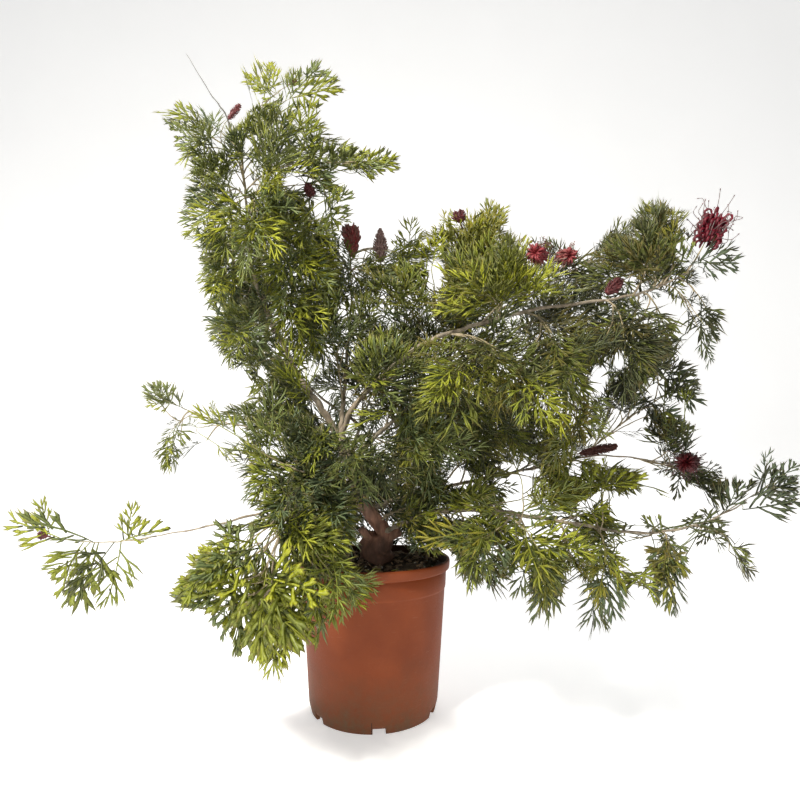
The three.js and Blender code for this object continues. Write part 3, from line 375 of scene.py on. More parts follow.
# Places where wood or soil shows between the leaves, first in pixels and then in millimetres: centre,
# half-width, half-height, and its y
CLEARING_PIXELS = [
    (376, 533, 19, 30, -10), (398, 562, 48, 11, 60), (455, 327, 36, 8, -66), (567, 305, 42, 8, -76),
    (388, 430, 12, 14, 20), (712, 272, 20, 5, -56), (640, 292, 16, 5, -66),
]
CLEARINGS = [
    (-68, 372, 17, 34, 0), (-41, 340, 9, 9, -8), (-31, 356, 8, 10, -18), (-20, 374, 8, 10, -28),
    (-44, 352, 6, 12, 10), (-42, 376, 6, 14, 26), (-40, 400, 6, 12, 42), (383, 290, 34, 26, 20),
]

# The map of where leaves may stand, and how much of a leaf or shoot has to stand in open places
FAR = 1000
FRONT = -245
MAP_STEP = 2
MAP_START = (-500, 0)
MAP_CELLS = (560, 460)
POT_CLEARANCE = 1.5
FLOOR_CLEARANCE = 2
MIN_OPEN = 0.75
FEWEST_LOBES = 0.5
ENOUGH_LOBES = 0.9
MIN_SHOOT_OPEN = 0.7

# Shoots and leaves follow the rule that places them in the solids
MAIN_SHOOT_RADII = [1.35, 0.6]
SIDE_SHOOT_RADII = [0.95, 0.5]
SPARSE = 0.35
THIN_TWIG = 0.6
TWIG_STEP = 9
TWIG_SIDES = 4
SIDE_SHOOT_STARTS = [0.3, 0.5]
EXTRA_SHOOTS = 2.4
EXTRA_STARTS = [0.05, 0.7]
EXTRA_REACHES = [0.4, 0.85]
EXTRA_SPREAD = 20
EXTRA_FORWARD = 0.3
BEND_FORWARD = 0.22
BEND_SHARE = 0.3
LEAF_PITCH = 13
BARE_SHARE = 0.25
LOWEST_LEAF_SHARE = 0.02
TIP_OPENING = 0.25
OPENING_STEP = 0.2
WIDEST_OPENING = 1.05
OPENING_SPREAD = 0.25
EXTRA_OPENING = 0.2
TURN_SPREAD = 0.5
LIFT_WEIGHT = 0.7
LIFT_SPREAD = 0.12
FACING = [0, -0.6, 0.75]
FACING_SPREAD = [1.3, 1.1, 0.9]
LEAF_LENGTHS = [60, 84]
TIP_LEAF_SCALE = 0.85
LARGEST_LEAF = 1.3
LEAF_TWIST = [-0.5, 0.5]
LEAF_KEEL = [0.05, 0.85]
LEAF_ARCH = 0.16
ARCH_RANGE = [0.3, 1.8]
LEAF_SWAY = [-0.06, 0.06]
LEAF_CUP = [-0.5, 0.7]
LEAF_RIPPLE = 0.09
LEAF_RIDGE = 0.006
AGE_STEP = 0.055
TIP_AGE = -0.12
AGE_SPREAD = 0.2
BREADTHS = [1.08, 0.85]
INNER_LEAF = 5
SET_LEAF_TILT = 0.25
SET_LEAF_HUES = (0, 0.8)
FOOT_STEPS = 100
LEAF_TRIES = ((1, 0), (1, 0.35), (1, -0.35), (0.85, 0.7), (0.85, -0.7))
SPRAY_SEED = 1000
FLOWER_SEED = 500
SOIL_SEED = 77

# Sprays with olive leaves, and the range from grey green to olive of the leaves on each side of the crown
OLIVE_SPRAYS = ("olive_tuft", "rise_high", "bloom_inner")
OLIVE_RANGE = (0.84, 1)
LEFT_RANGE = (0, 0.75)
MIDDLE_RANGE = (0, 1)
RIGHT_RANGE = (0.33, 1)
LEFT_SIDE = -20
RIGHT_SIDE = 100

# Leaves set one by one on a spray: the foot and the tip in pixels of the photo, how much further back
# the tip is, age and breadth; the age, high on the right side of the crown, partly darkens them as painted
# shade
SET_LEAVES = {
    "far_left_tip": [
        (62, 538, 1, 520, 0, 0.12, 1.7), (124, 544, 166, 524, 0, 0.15, 1.9),
        (128, 543, 134, 503, 0, 0.2, 1.7), (90, 547, 46, 581, 0, 0.3, 1.4), (95, 548, 68, 608, 0, 0.2, 1.8),
        (122, 546, 106, 613, 0, 0.3, 1.2), (30, 520, 40, 497, 0, 0.2, 1.4), (84, 552, 48, 598, 0, 0.25, 1.5),
    ],
    "left_back_tip": [
        (176, 402, 143, 386, 0, 0, 1.5), (174, 402, 142, 404, 0, 0.1, 1.3), (194, 441, 160, 447, 0, 0.5, 1.1),
        (184, 448, 166, 471, 0, 0.55, 1.1), (238, 427, 211, 400, 0, 0.45, 1.1),
        (178, 403, 150, 379, 0, 0.05, 1.3), (194, 436, 166, 424, 0, 0.95, 1.1),
    ],
    "top": [
        (277, 96, 240, 70, 0, 0.05, 1.6), (278, 96, 266, 58, 0, 0.05, 1.3), (293, 108, 324, 64, 0, 0.1, 1.6),
        (299, 118, 343, 88, 0, 0.1, 1.5), (290, 100, 300, 68, 0, 0.2, 1.2), (284, 98, 296, 66, 0, 0.15, 1.1),
        (280, 98, 250, 84, 0, 0.1, 1.3),
    ],
    "top_left": [
        (206, 143, 160, 124, 0, 0.3, 1.3), (208, 143, 214, 107, 0, 0.35, 1.2),
        (210, 148, 174, 138, 0, 0.6, 0.9),
    ],
    "inner_high": [
        (349, 170, 401, 163, 0, 0.1, 1.7),
    ],
    "inner_middle": [
        (323, 220, 352, 190, 0, 0.15, 1.7), (323, 222, 352, 218, 0, 0.3, 1.7),
    ],
    "left_high": [
        (221, 199, 184, 190, 0, 1, 1), (221, 196, 190, 178, 0, 1, 0.9),
    ],
    "low_back_high": [
        (654, 432, 698, 434, 0, 0.95, 1.6), (645, 396, 656, 434, 0, 0.9, 1.4),
        (665, 370, 703, 386, 0, 0.95, 1.4), (668, 372, 700, 411, 0, 0.95, 1.4),
        (650, 388, 690, 366, 0, 0.85, 1.4),
    ],
    "low_back_tip": [
        (697, 476, 722, 500, 0, 0.95, 1.7), (684, 462, 655, 470, 0, 0.8, 1.2),
        (700, 480, 726, 474, 0, 0.95, 1.5), (684, 462, 676, 500, 0, 0.9, 1.3),
    ],
    "low_front_tip": [
        (716, 516, 757, 473, 0, 1, 1.6), (756, 508, 801, 482, 0, 1, 2), (770, 498, 768, 450, 0, 1, 1.2),
        (780, 490, 799, 460, 0, 1, 1.9), (719, 524, 683, 523, 0, 0.85, 1.6),
        (717, 526, 700, 544, 0, 0.9, 1.4), (752, 511, 801, 496, 0, 1, 1.6), (762, 507, 800, 478, 0, 1, 2),
        (726, 512, 746, 478, 0, 0.95, 1.6), (775, 495, 803, 488, 0, 1, 2),
    ],
    "low_front_broad": [
        (668, 535, 641, 518, 0, 0.55, 2), (668, 535, 668, 590, 0, 0.45, 2),
        (668, 540, 688, 580, 0, 0.55, 1.9), (650, 570, 669, 621, 0, 0.9, 1.2),
    ],
    "low_front_middle": [
        (598, 488, 645, 474, 0, 0.08, 1.8), (599, 485, 604, 456, 0, 0.05, 1.7),
        (590, 565, 592, 634, 0, 0.85, 1.2), (595, 565, 613, 624, 0, 0.85, 1.3),
        (600, 560, 630, 562, 0, 0.4, 1.8), (598, 520, 625, 548, 0, 0.5, 1.6),
        (560, 515, 552, 545, 0, 0.35, 1.6),
    ],
    "low_front_near": [
        (500, 540, 492, 590, 0, 0.6, 1.3), (540, 556, 543, 622, 0, 0.8, 1.3),
        (520, 550, 512, 600, 0, 0.7, 1.2), (477, 545, 470, 590, 0, 0.7, 1.2),
        (530, 510, 560, 530, 0, 0.3, 1.5),
    ],
    "long_tip": [
        (706, 272, 747, 264, 0, 0.95, 1.3), (704, 270, 741, 248, 0, 0.9, 1),
        (688, 262, 666, 238, 0, 0.3, 1.8), (672, 262, 656, 232, 0, 0.6, 1.3),
        (696, 266, 690, 248, 0, 0.9, 1.2),
    ],
    "long_hanging": [
        (683, 304, 714, 296, 0, 0.95, 1.2), (690, 318, 726, 318, 0, 1, 1.4), (695, 326, 723, 338, 0, 1, 1.3),
        (700, 335, 714, 366, 0, 1, 1),
    ],
    "rise_high": [
        (492, 238, 503, 200, 0, -0.1, 1.6), (490, 240, 486, 197, 0, -0.05, 1.3),
        (462, 232, 446, 212, 0, 0, 1.4),
    ],
    "centre_top": [
        (405, 262, 391, 240, 0, 0.15, 1.4), (408, 258, 412, 212, 0, 0.3, 0.9),
        (380, 275, 370, 258, 0, 0.1, 1.2), (356, 262, 340, 240, 0, 0.5, 1), (352, 262, 352, 290, 0, 0.4, 1),
        (350, 270, 346, 242, -20, 0.45, 1.3), (352, 276, 358, 250, -20, 0.35, 1.2),
        (378, 274, 374, 252, -18, 0.3, 1.3), (380, 278, 384, 256, -18, 0.25, 1.2),
    ],
    "droop_tip": [
        (272, 607, 276, 686, 0, 0.12, 1), (228, 584, 171, 604, 0, 0.35, 1.6),
        (232, 585, 214, 643, 0, 0.2, 1.7), (240, 590, 243, 660, 0, 0.15, 1.8),
        (250, 595, 236, 632, 0, 0.1, 1.9),
    ],
    "droop_right": [
        (322, 574, 347, 622, 0, 0.35, 1.3), (326, 576, 360, 606, 0, 0.4, 1.2),
        (318, 570, 340, 592, 0, 0.3, 1.2),
    ],
    "low_back_near": [
        (500, 515, 528, 535, 0, 0.2, 1.4), (505, 462, 522, 488, 0, 0.6, 1.2),
    ],
    "long_high": [
        (640, 285, 660, 300, 0, 0.9, 1.2),
    ],
}

# Flowers and buds: piece's node, spray, which of its shoots, kind, radius and length
FLOWERS = [
    ["flower_right_high", "long_tip", 0, "spider", 18, 20],
    ["flower_right_low", "low_back_tip", 1, "spider", 14, 24],
    ["flower_middle_left", "rise_tip", 1, "spider", 14, 24],
    ["flower_middle_right", "rise_tip", 2, "spider", 12, 16],
    ["flower_on_long_branch", "long_high", 1, "bud", 9, 25],
    ["bud_on_rise", "rise_high", 0, "bud", 11, 16],
    ["cone_brown", "centre_top", 0, "cone", 13, 46],
    ["cone_grey", "centre_top", 1, "cone", 9, 50],
    ["bud_inner", "inner_high", 2, "bud", 8, 18],
    ["bud_top_left", "top_left", 2, "bud", 6.5, 28],
    ["bud_low_right", "low_back_bud", 0, "cone", 7.5, 52],
]
SMALL_BUDS = [
    ["bud_far_left", "far_left_tip", 0, "bud", 5.5, 11],
    ["bud_top", "top", 0, "bud", 5.5, 11],
]
FREE_STANDING = ("cone_brown", "cone_grey", "bud_top_left", "flower_right_high", "bud_far_left")
# How some flowers stand: direction, length of stalk, and girth at the foot and at the top
STANCES = {
    "cone_grey": ([-0.02, 0, 1], 8, 1.7, 0.6),
    "cone_brown": ([-0.12, 0, 1], -12, 0.75, 1.5),
    "bud_top_left": ([0.7, 0, 1], 2, 0.85, 0.9),
    "flower_on_long_branch": ([0.8, 0, 0.75], -10, 1, 1),
    "bud_on_rise": ([-0.2, 0, 1], 12, 1, 1),
}
STALK_LENGTH = 4
FLOWER_GAP = 0.45
FLORETS = 84
FLORET_RADII = [0.7, 1.1, 1.4, 1.7, 1.7, 1.3, 0.6]
STYLED_SHARE = 0.45
STYLE_RADIUS = 0.45
SCALES = {"bud": 90, "cone": 230}

UP = np.array([0.0, 0.0, 1.0])


def unit(vector):
    return vector / np.linalg.norm(vector)


def mix(low, high, share):
    return low + (high - low) * share


def turned(vector, axis, angle):
    return (
        vector * math.cos(angle)
        + np.cross(axis, vector) * math.sin(angle)
        + axis * axis.dot(vector) * (1 - math.cos(angle))
    )


# The directions forward, right and up of the view that the photo's places are read with
def photo_axes():
    level = math.cos(PHOTO_PITCH)
    forward = [math.sin(PHOTO_YAW) * level, math.cos(PHOTO_YAW) * level, math.sin(PHOTO_PITCH)]
    right = unit(np.cross(forward, UP))
    return np.array([forward, right, np.cross(right, forward)])


PHOTO_AXES = photo_axes()


# The place with a known y that shows at a pixel of the photo
def place_at(column, row, y=0):
    aside = (column - PHOTO_MIDDLE) / PHOTO_FOCUS
    raised = (PHOTO_MIDDLE - row) / PHOTO_FOCUS
    ray = np.array([1, aside, raised]) @ PHOTO_AXES
    return PHOTO_EYE + (y - PHOTO_EYE[1]) / ray[1] * ray


# The pixel of the photo at which a place shows
def pixel_of(place):
    ahead, aside, raised = PHOTO_AXES @ (place - PHOTO_EYE)
    return PHOTO_MIDDLE + PHOTO_FOCUS / ahead * np.array([aside, -raised])


# An oval of the photo on the upright plane through the pot's axis, to the millimetre
def oval_at(column, row, half_width, half_height):
    centre = place_at(column, row)
    half = place_at(column + half_width, row - half_height) - centre
    return (*np.round(centre[[0, 2]]), *np.round(half[[0, 2]]))


# A repeatable draw from 0 to 1, the same as in the solids' source
def draw(seed, use):
    wave = math.sin(seed * 12.9898 + use * 78.233) * 43758.5453
    return wave - math.floor(wave)


# Curves
class Curve:
    def tangent(self, share):
        step = 1e-4
        return unit(self.point(min(1, share + step)) - self.point(max(0, share - step)))

    def points(self, count):
        return np.array([self.point(i / count) for i in range(count + 1)])

    def length(self):
        return float(np.linalg.norm(np.diff(self.points(200), axis=0), axis=1).sum())


class Through(Curve):
    """A smooth curve through every point of a route."""

    def __init__(self, route):
        route = np.array(route, float)
        self.last = len(route) - 1
        self.route = np.vstack([2 * route[0] - route[1], route, 2 * route[-1] - route[-2]])

    def point(self, share):
        place = share * self.last
        low = min(int(place), self.last - 1)
        t = place - low
        before, start, end, after = self.route[low : low + 4]
        leave = (end - before) / 2
        arrive = (after - start) / 2
        return (
            (2 * t**3 - 3 * t**2 + 1) * start
            + (t**3 - 2 * t**2 + t) * leave
            + (3 * t**2 - 2 * t**3) * end
            + (t**3 - t**2) * arrive
        )


class Bend(Curve):
    """A curve from a start to an end, drawn towards a third point between them."""

    def __init__(self, start, middle, end):
        self.start, self.middle, self.end = (np.array(p, float) for p in (start, middle, end))

    def point(self, share):
        rest = 1 - share
        return rest * rest * self.start + 2 * rest * share * self.middle + share * share * self.end


branch_curves = {name: Through(route) for name, (_, route) in BRANCHES.items()}
branch_curves["trunk"] = Through(TRUNK_ROUTE)


def shoot_curve(parent, share, end, bow):
    start = parent.point(share)
    forward = parent.tangent(min(share, 0.999))
    span = np.array(end, float) - start
    bend = start + forward * BEND_FORWARD * np.linalg.norm(span) + span * BEND_SHARE
    bend[2] += bow
    return Bend(start, bend, end)


# A spray grows from a branch or from the main shoot of another spray
def parent_of(name):
    if name in branch_curves:
        return branch_curves[name]
    return shoots_of(next(row for row in SPRAYS if row[0] == name))[0]


def shoots_of(row):
    _, branch, share, bow, *_, ends = row
    main = shoot_curve(parent_of(branch), share, ends[0], bow)
    sides = zip(SIDE_SHOOT_STARTS, ends[1:])
    return [main] + [shoot_curve(main, start, end, bow / 2) for start, end in sides]


def add_object(name, data):
    made = bpy.data.objects.new(name, data)
    bpy.context.scene.collection.objects.link(made)
    return made


# Meshes: faces of four and three corners, with shade values for the materials
POINT_VALUES = ("age", "chance", "tip", "vein")


class Skin:
    def __init__(self):
        self.points = []
        self.quads = []
        self.triangles = []
        self.values = {key: [] for key in POINT_VALUES}
        self.quad_marks = []
        self.triangle_marks = []
        self.count = 0

    def add(self, points, quads, triangles, paint=0, under=(None, None), **values):
        points = np.asarray(points, float)
        quads = np.asarray(quads, int).reshape(-1, 4)
        triangles = np.asarray(triangles, int).reshape(-1, 3)
        self.points.append(points)
        self.quads.append(quads + self.count)
        self.triangles.append(triangles + self.count)
        for key in POINT_VALUES:
            self.values[key].append(np.broadcast_to(values.get(key, 0.0), len(points)))
        for marks, faces, sides in (
            (self.quad_marks, quads, under[0]),
            (self.triangle_marks, triangles, under[1]),
        ):
            side = np.zeros(len(faces)) if sides is None else sides
            marks.append(np.stack([np.full(len(faces), paint), side], 1))
        self.count += len(points)

    def make(self, name, materials):
        mesh = bpy.data.meshes.new(name)
        points = np.concatenate(self.points) * MM
        quads = np.concatenate(self.quads)
        triangles = np.concatenate(self.triangles)
        corners = np.concatenate([quads.ravel(), triangles.ravel()])
        sizes = np.concatenate([np.full(len(quads), 4), np.full(len(triangles), 3)])
        starts = np.concatenate([[0], np.cumsum(sizes)[:-1]])
        marks = np.concatenate(self.quad_marks + self.triangle_marks)
        mesh.vertices.add(len(points))
        mesh.vertices.foreach_set("co", points.astype(np.float32).ravel())
        mesh.loops.add(len(corners))
        mesh.loops.foreach_set("vertex_index", corners.astype(np.int32))
        mesh.polygons.add(len(sizes))
        mesh.polygons.foreach_set("loop_start", starts.astype(np.int32))
        mesh.polygons.foreach_set("material_index", marks[:, 0].astype(np.int32))
        mesh.polygons.foreach_set("use_smooth", np.ones(len(sizes), bool))
        mesh.update(calc_edges=True)
        for key in POINT_VALUES:
            values = np.concatenate(self.values[key])
            if np.any(values):
                attribute = mesh.attributes.new(key, "FLOAT", "POINT")
                attribute.data.foreach_set("value", values.astype(np.float32))
        if np.any(marks[:, 1]):
            attribute = mesh.attributes.new("under", "FLOAT", "FACE")
            attribute.data.foreach_set("value", marks[:, 1].astype(np.float32))
        mesh.validate()
        for material in materials:
            mesh.materials.append(material)
        return add_object(name, mesh)


def hand_over(piece, slot, *nodes):
    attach(piece, "root")
    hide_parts(*nodes)


# Faces between rings of points, closed by a point at either end
def ring_mesh(rings, ends, inward=False):
    columns = len(rings[0])
    points = np.concatenate([*rings, ends])
    side = np.arange(columns)
    following = (side + 1) % columns
    if inward:
        side, following = following, side
    row = np.arange(len(rings) - 1)[:, None] * columns
    quads = np.stack([row + side, row + following, row + columns + following, row + columns + side], -1)
    top = (len(rings) - 1) * columns
    first, last = (np.full(columns, len(points) - k) for k in (2, 1))
    caps = [np.stack([following, side, first], -1), np.stack([top + side, top + following, last], -1)]
    return points, quads.reshape(-1, 4), np.concatenate(caps)


# A closed tube along a line of points
def tube(line, radii, sides, shape=None):
    line = np.asarray(line, float)
    radii = np.broadcast_to(radii, len(line))
    angles = np.arange(sides) * 2 * math.pi / sides
    across = np.array([0.31, 0.9, 0.17])
    rings = []
    for i, centre in enumerate(line):
        forward = unit(line[min(i + 1, len(line) - 1)] - line[max(i - 1, 0)])
        across = unit(across - forward * across.dot(forward))
        over = np.cross(forward, across)
        reach = radii[i] if shape is None else radii[i] * shape(i, angles)
        reach = np.broadcast_to(reach, sides)[:, None]
        rings.append(centre + reach * (np.cos(angles)[:, None] * across + np.sin(angles)[:, None] * over))
    return ring_mesh(rings, line[[0, -1]])


# A pointed strip in the plane of a leaf: flat below, ridged above, its tip as the last point
def strip(line, half_widths, ridge):
    line = np.asarray(line, float)
    rows = len(line) - 1
    ahead = np.diff(line, axis=0)
    ahead = np.vstack([ahead[:1], (ahead[:-1] + ahead[1:]) / 2])
    ahead /= np.linalg.norm(ahead, axis=1)[:, None]
    left = np.stack([-ahead[:, 1], ahead[:, 0]], 1) * np.array(half_widths)[:, None]
    flat = np.zeros((rows, 1))
    low, high = line[:-1] + left, line[:-1] - left
    corners = [np.hstack([low, flat]), np.hstack([line[:-1], flat + ridge]), np.hstack([high, flat])]
    points = np.vstack([np.stack(corners, 1).reshape(-1, 3), [[*line[rows], 0]]])
    quads, under = [], []
    for i in range(rows - 1):
        for j in range(3):
            k = (j + 1) % 3
            quads.append([3 * i + j, 3 * i + k, 3 * i + 3 + k, 3 * i + 3 + j])
            under.append(int(j == 2))
    last = 3 * rows - 3
    triangles = [[last + j, last + (j + 1) % 3, last + 3] for j in range(3)] + [[2, 1, 0]]
    return points, quads, triangles, under, [0, 0, 1, 0], [0, 1, 0] * rows + [0.5]


# Lobe half-widths, as shares of a leaf's length, from fine old leaves to broad new ones
FINE, USUAL, BROAD, WIDE = 0.0115, 0.0155, 0.023, 0.031
RIB_PLACES = (0, 0.16, 0.45, 0.74, 0.88, 1)
# From a leaf's lowest lobe to its highest
LOBE_PLACES = (0.12, 0.78)
LOBE_LENGTHS = (0.54, 0.3)
LOBE_SLANTS = (1.0, 0.5)
LOBE_CURVE = -0.5
FORK_PLACES = (0.2, 0.5)
# The prongs of a lobe: place after the fork, turn and length
PRONGS = ((0, 0.42, 0.95), (0.16, -0.38, 0.9), (0.32, -0.3, 0.8))


class Template:
    """A leaf of unit length: a rib with lobes on either side in turn, split into long pointed prongs."""

    def __init__(self, seed, lobes, breadth):
        self.random = np.random.default_rng(seed)
        self.parts = []
        self.count = 0
        self.lobe_number = 0
        self.breadth = breadth
        sway = self.random.uniform(-0.04, 0.04)
        rib = [[sway * math.sin(3 * y), y] for y in RIB_PLACES]
        self.add(rib, [0.008, 0.009, 0.5 * breadth, 0.6 * breadth, breadth], (0, 1), 0)
        for k in range(lobes):
            self.lobe_number = k + 1
            self.lobe(k / (lobes - 1), 1 if k % 2 else -1)
        self.finish()

    def add(self, line, half_widths, tips, slope, root=(0, 0)):
        points, quads, triangles, under, tip_under, vein = strip(line, half_widths, LEAF_RIDGE)
        points[:, 2] += slope * np.hypot(points[:, 0] - root[0], points[:, 1] - root[1])
        rows = (len(points) - 1) // 3
        along = np.repeat(np.linspace(0, 1, rows + 1), 3)[: len(points)]
        faces = [np.array(quads).reshape(-1, 4) + self.count, np.array(triangles) + self.count]
        shades = [under, tip_under, vein, mix(*tips, along), np.full(len(points), self.lobe_number)]
        self.parts.append([points, *faces, *shades])
        self.count += len(points)

    def lobe(self, share, side):
        wobble = self.random.uniform
        root = [0, mix(*LOBE_PLACES, share) + wobble(-0.02, 0.02)]
        length = mix(*LOBE_LENGTHS, share) * wobble(0.8, 1.15)
        slant = mix(*LOBE_SLANTS, share) + wobble(-0.14, 0.14)
        slope = wobble(-0.3, 0.35)
        b = self.breadth
        line = self.curved(root, slant, LOBE_CURVE, length, side, (0, 0.3, 0.7, 1))
        self.add(line, [0.6 * b, 0.85 * b, 0.9 * b], (0, 1), slope, root)
        fork = mix(*FORK_PLACES, (b - FINE) / (WIDE - FINE))
        prongs = (2 if share < 0.65 else 1) + int(share < 0.5 and wobble() < 0.35)
        for place, aside, scale in PRONGS[:prongs]:
            share_on = fork + place + wobble(-0.04, 0.04)
            turn = aside + wobble(-0.08, 0.08)
            reach = length * (0.98 - share_on) * scale * wobble(0.85, 1.1)
            foot = self.on(line, share_on)
            slanted = slant + LOBE_CURVE * share_on + turn
            prong = self.curved(foot, slanted, -0.9 * turn, reach, side, (0, 0.5, 1))
            self.add(prong, [0.7 * b, 0.95 * b], (0.4, 1), slope, root)

    def curved(self, start, slant, bend, length, side, shares):
        line = [np.array(start, float)]
        for low, high in zip(shares, shares[1:]):
            angle = slant + bend * (low + high) / 2
            step = np.array([side * math.sin(angle), math.cos(angle)]) * length * (high - low)
            line.append(line[-1] + step)
        return np.array(line)

    def on(self, line, share):
        reach = np.concatenate([[0], np.cumsum(np.linalg.norm(np.diff(line, axis=0), axis=1))])
        return [np.interp(share * reach[-1], reach, line[:, k]) for k in range(2)]

    def finish(self):
        points, quads, triangles, under, tip_under, vein, tips, lobes = zip(*self.parts)
        self.points = np.concatenate(points)
        self.quads = np.concatenate(quads)
        self.triangles = np.concatenate(triangles)
        self.under = (np.concatenate(under), np.concatenate(tip_under))
        self.vein = np.concatenate(vein)
        self.tip = np.concatenate(tips)
        self.lobe_of = np.concatenate(lobes)
        self.lobe_sizes = np.bincount(self.lobe_of)


templates = {
    breadth: [Template(seed + k, lobes, breadth) for k in range(5)]
    for breadth, seed, lobes in ((FINE, 11, 9), (USUAL, 31, 8), (BROAD, 51, 8), (WIDE, 71, 7))
}


def pick_template(breadth, random):
    nearest = min(templates, key=lambda known: abs(known - breadth * USUAL))
    return templates[nearest][int(random.integers(len(templates[nearest])))]


# The pot's outer radius at a height, so that a leaf beside the pot stays out of it
def pot_reach(height):
    heights = [0, HEEL_HEIGHT, STEP_HEIGHT, GROOVE_HEIGHT, POT_HEIGHT]
    return np.interp(height, heights, [FOOT_RADIUS, HEEL_RADIUS, STEP_RADIUS, RIM_RADIUS, RIM_RADIUS])


# Where the eye sees points on the upright plane through the pot's axis
def seen_at(points):
    share = EYE[1] / (EYE[1] - points[:, 1])
    return EYE[[0, 2]] + (points[:, [0, 2]] - EYE[[0, 2]]) * share[:, None]


# Where a flower stands, and which way it points
def flower_place(name, spray, shoot):
    row = next(one for one in SPRAYS if one[0] == spray)
    curve = shoots_of(row)[shoot]
    foot = curve.point(1) + curve.tangent(1) * FLOWER_GAP
    return foot, unit(np.array(STANCES[name][0])) if name in STANCES else curve.tangent(1)


# Leaves stay out of the sight of each flower
def flower_clearings():
    rows = []
    for name, spray, shoot, kind, radius, length in FLOWERS + SMALL_BUDS:
        foot, axis = flower_place(name, spray, shoot)
        stalk = STANCES[name][1] if name in STANCES else STALK_LENGTH
        ends = seen_at(np.array([foot + axis * stalk, foot + axis * (stalk + length)]))
        half = np.abs(ends[1] - ends[0]) / 2 + radius
        depth = FAR if name in FREE_STANDING else foot[1] + radius
        rows.append((*ends.mean(axis=0), *half, depth))
    return rows


# For each cell of the upright plane through the pot's axis, the y behind which leaves may stand
def depth_limits():
    x = MAP_START[0] + MAP_STEP * np.arange(MAP_CELLS[0])
    z = MAP_START[1] + MAP_STEP * np.arange(MAP_CELLS[1])
    x, z = np.meshgrid(x, z, indexing="ij")
    inside = np.zeros(x.shape, bool)
    outline = [np.round(place_at(*pixel)[[0, 2]]) for pixel in OUTLINE_PIXELS]
    for (x0, z0), (x1, z1) in zip(outline, outline[1:] + outline[:1]):
        if z0 != z1:
            inside ^= ((z0 > z) != (z1 > z)) & (x < x0 + (z - z0) * (x1 - x0) / (z1 - z0))
    limits = np.where(inside, -FAR, FAR)
    gaps = [oval_at(*gap) for gap in GAP_PIXELS] + CROWN_GAPS
    clearings = [(*oval_at(*oval), depth) for *oval, depth in CLEARING_PIXELS] + CLEARINGS
    openings = [(*gap, FAR) for gap in gaps] + clearings + flower_clearings()
    for centre_x, centre_z, half_width, half_height, depth in openings:
        hit = ((x - centre_x) / half_width) ** 2 + ((z - centre_z) / half_height) ** 2 < 1
        limits[hit] = np.maximum(limits[hit], depth)
    return limits


limits = depth_limits()


def is_open(points):
    cell = np.round((seen_at(points) - MAP_START) / MAP_STEP).astype(int)
    cell = np.clip(cell, 0, np.array(MAP_CELLS) - 1)
    height = points[:, 2]
    out = np.hypot(points[:, 0], points[:, 1])
    in_pot = (height < POT_HEIGHT + 1) & (out < pot_reach(height) + POT_CLEARANCE)
    shown = points[:, 1] > np.maximum(limits[cell[:, 0], cell[:, 1]], FRONT)
    return shown & ~in_pot & (height > FLOOR_CLEARANCE)


def posed_leaf(template, base, axes, length, random):
    x, y, z = template.points.T
    twist = random.uniform(*LEAF_TWIST) * y
    keel = random.uniform(*LEAF_KEEL)
    arch = LEAF_ARCH * random.uniform(*ARCH_RANGE)
    sway = random.uniform(*LEAF_SWAY)
    cup = random.uniform(*LEAF_CUP)
    ripple = LEAF_RIPPLE * np.sin(13 * y + 9 * x + random.uniform(0, 6)) * np.abs(x)
    rise = z + keel * np.abs(x) - arch * y * y + cup * x * x + ripple
    turned_x = x * np.cos(twist) - rise * np.sin(twist) + sway * y * y
    turned_z = x * np.sin(twist) + rise * np.cos(twist)
    return base + np.stack([turned_x, y, turned_z], 1) @ axes * length


# How far the leaves of a spray go from grey green to olive
def hues_of(row):
    x = row[-1][0][0]
    if row[0] in OLIVE_SPRAYS:
        return OLIVE_RANGE
    if x < LEFT_SIDE:
        return LEFT_RANGE
    return RIGHT_RANGE if x > RIGHT_SIDE else MIDDLE_RANGE


# A leaf is turned to where most of its lobes stay in open places, and loses those that don't
def add_leaf(skin, template, base, along, facing, length, age, hues, random):
    chance = random.uniform(*hues)
    best, most = None, FEWEST_LOBES
    for scale, turn in LEAF_TRIES:
        heading = turned(along, facing, turn)
        axes = np.stack([np.cross(heading, facing), heading, facing])
        points = posed_leaf(template, base, axes, length * scale, random)
        kept = np.bincount(template.lobe_of, is_open(points)) > MIN_OPEN * template.lobe_sizes
        if kept[0] and kept.mean() > most:
            best, most = (points, kept), kept.mean()
        if most > ENOUGH_LOBES:
            break
    if best is None:
        return False
    put_leaf(skin, template, *best, age, chance)
    return True


def put_leaf(skin, template, points, kept, age, chance):
    mask = kept[template.lobe_of]
    place = np.cumsum(mask) - 1
    quads = mask[template.quads[:, 0]]
    triangles = mask[template.triangles[:, 0]]
    skin.add(
        points[mask], place[template.quads[quads]], place[template.triangles[triangles]],
        under=(template.under[0][quads], template.under[1][triangles]),
        age=age, chance=chance, tip=template.tip[mask], vein=template.vein[mask],
    )


# The shoot and the share of its length that come closest to a pixel of the photo
def foot_at(shoots, pixel):
    found = []
    for k, curve in enumerate(shoots):
        for share in (i / FOOT_STEPS for i in range(FOOT_STEPS + 1)):
            found.append((np.hypot(*(pixel_of(curve.point(share)) - pixel)), k, share))
    return min(found)[1:]


# A leaf from a place on a shoot to a known tip, its face towards the eye
def set_leaf(skin, base, tip, age, breadth, random):
    span = tip - base
    along = unit(span)
    towards = unit(unit(EYE - base) + random.normal(0, SET_LEAF_TILT, 3))
    facing = unit(towards - along * towards.dot(along))
    template = pick_template(breadth, random)
    axes = np.stack([np.cross(along, facing), along, facing])
    points = posed_leaf(template, base, axes, np.linalg.norm(span), random)
    whole = np.ones(len(template.lobe_sizes), bool)
    put_leaf(skin, template, points, whole, age, random.uniform(*SET_LEAF_HUES))


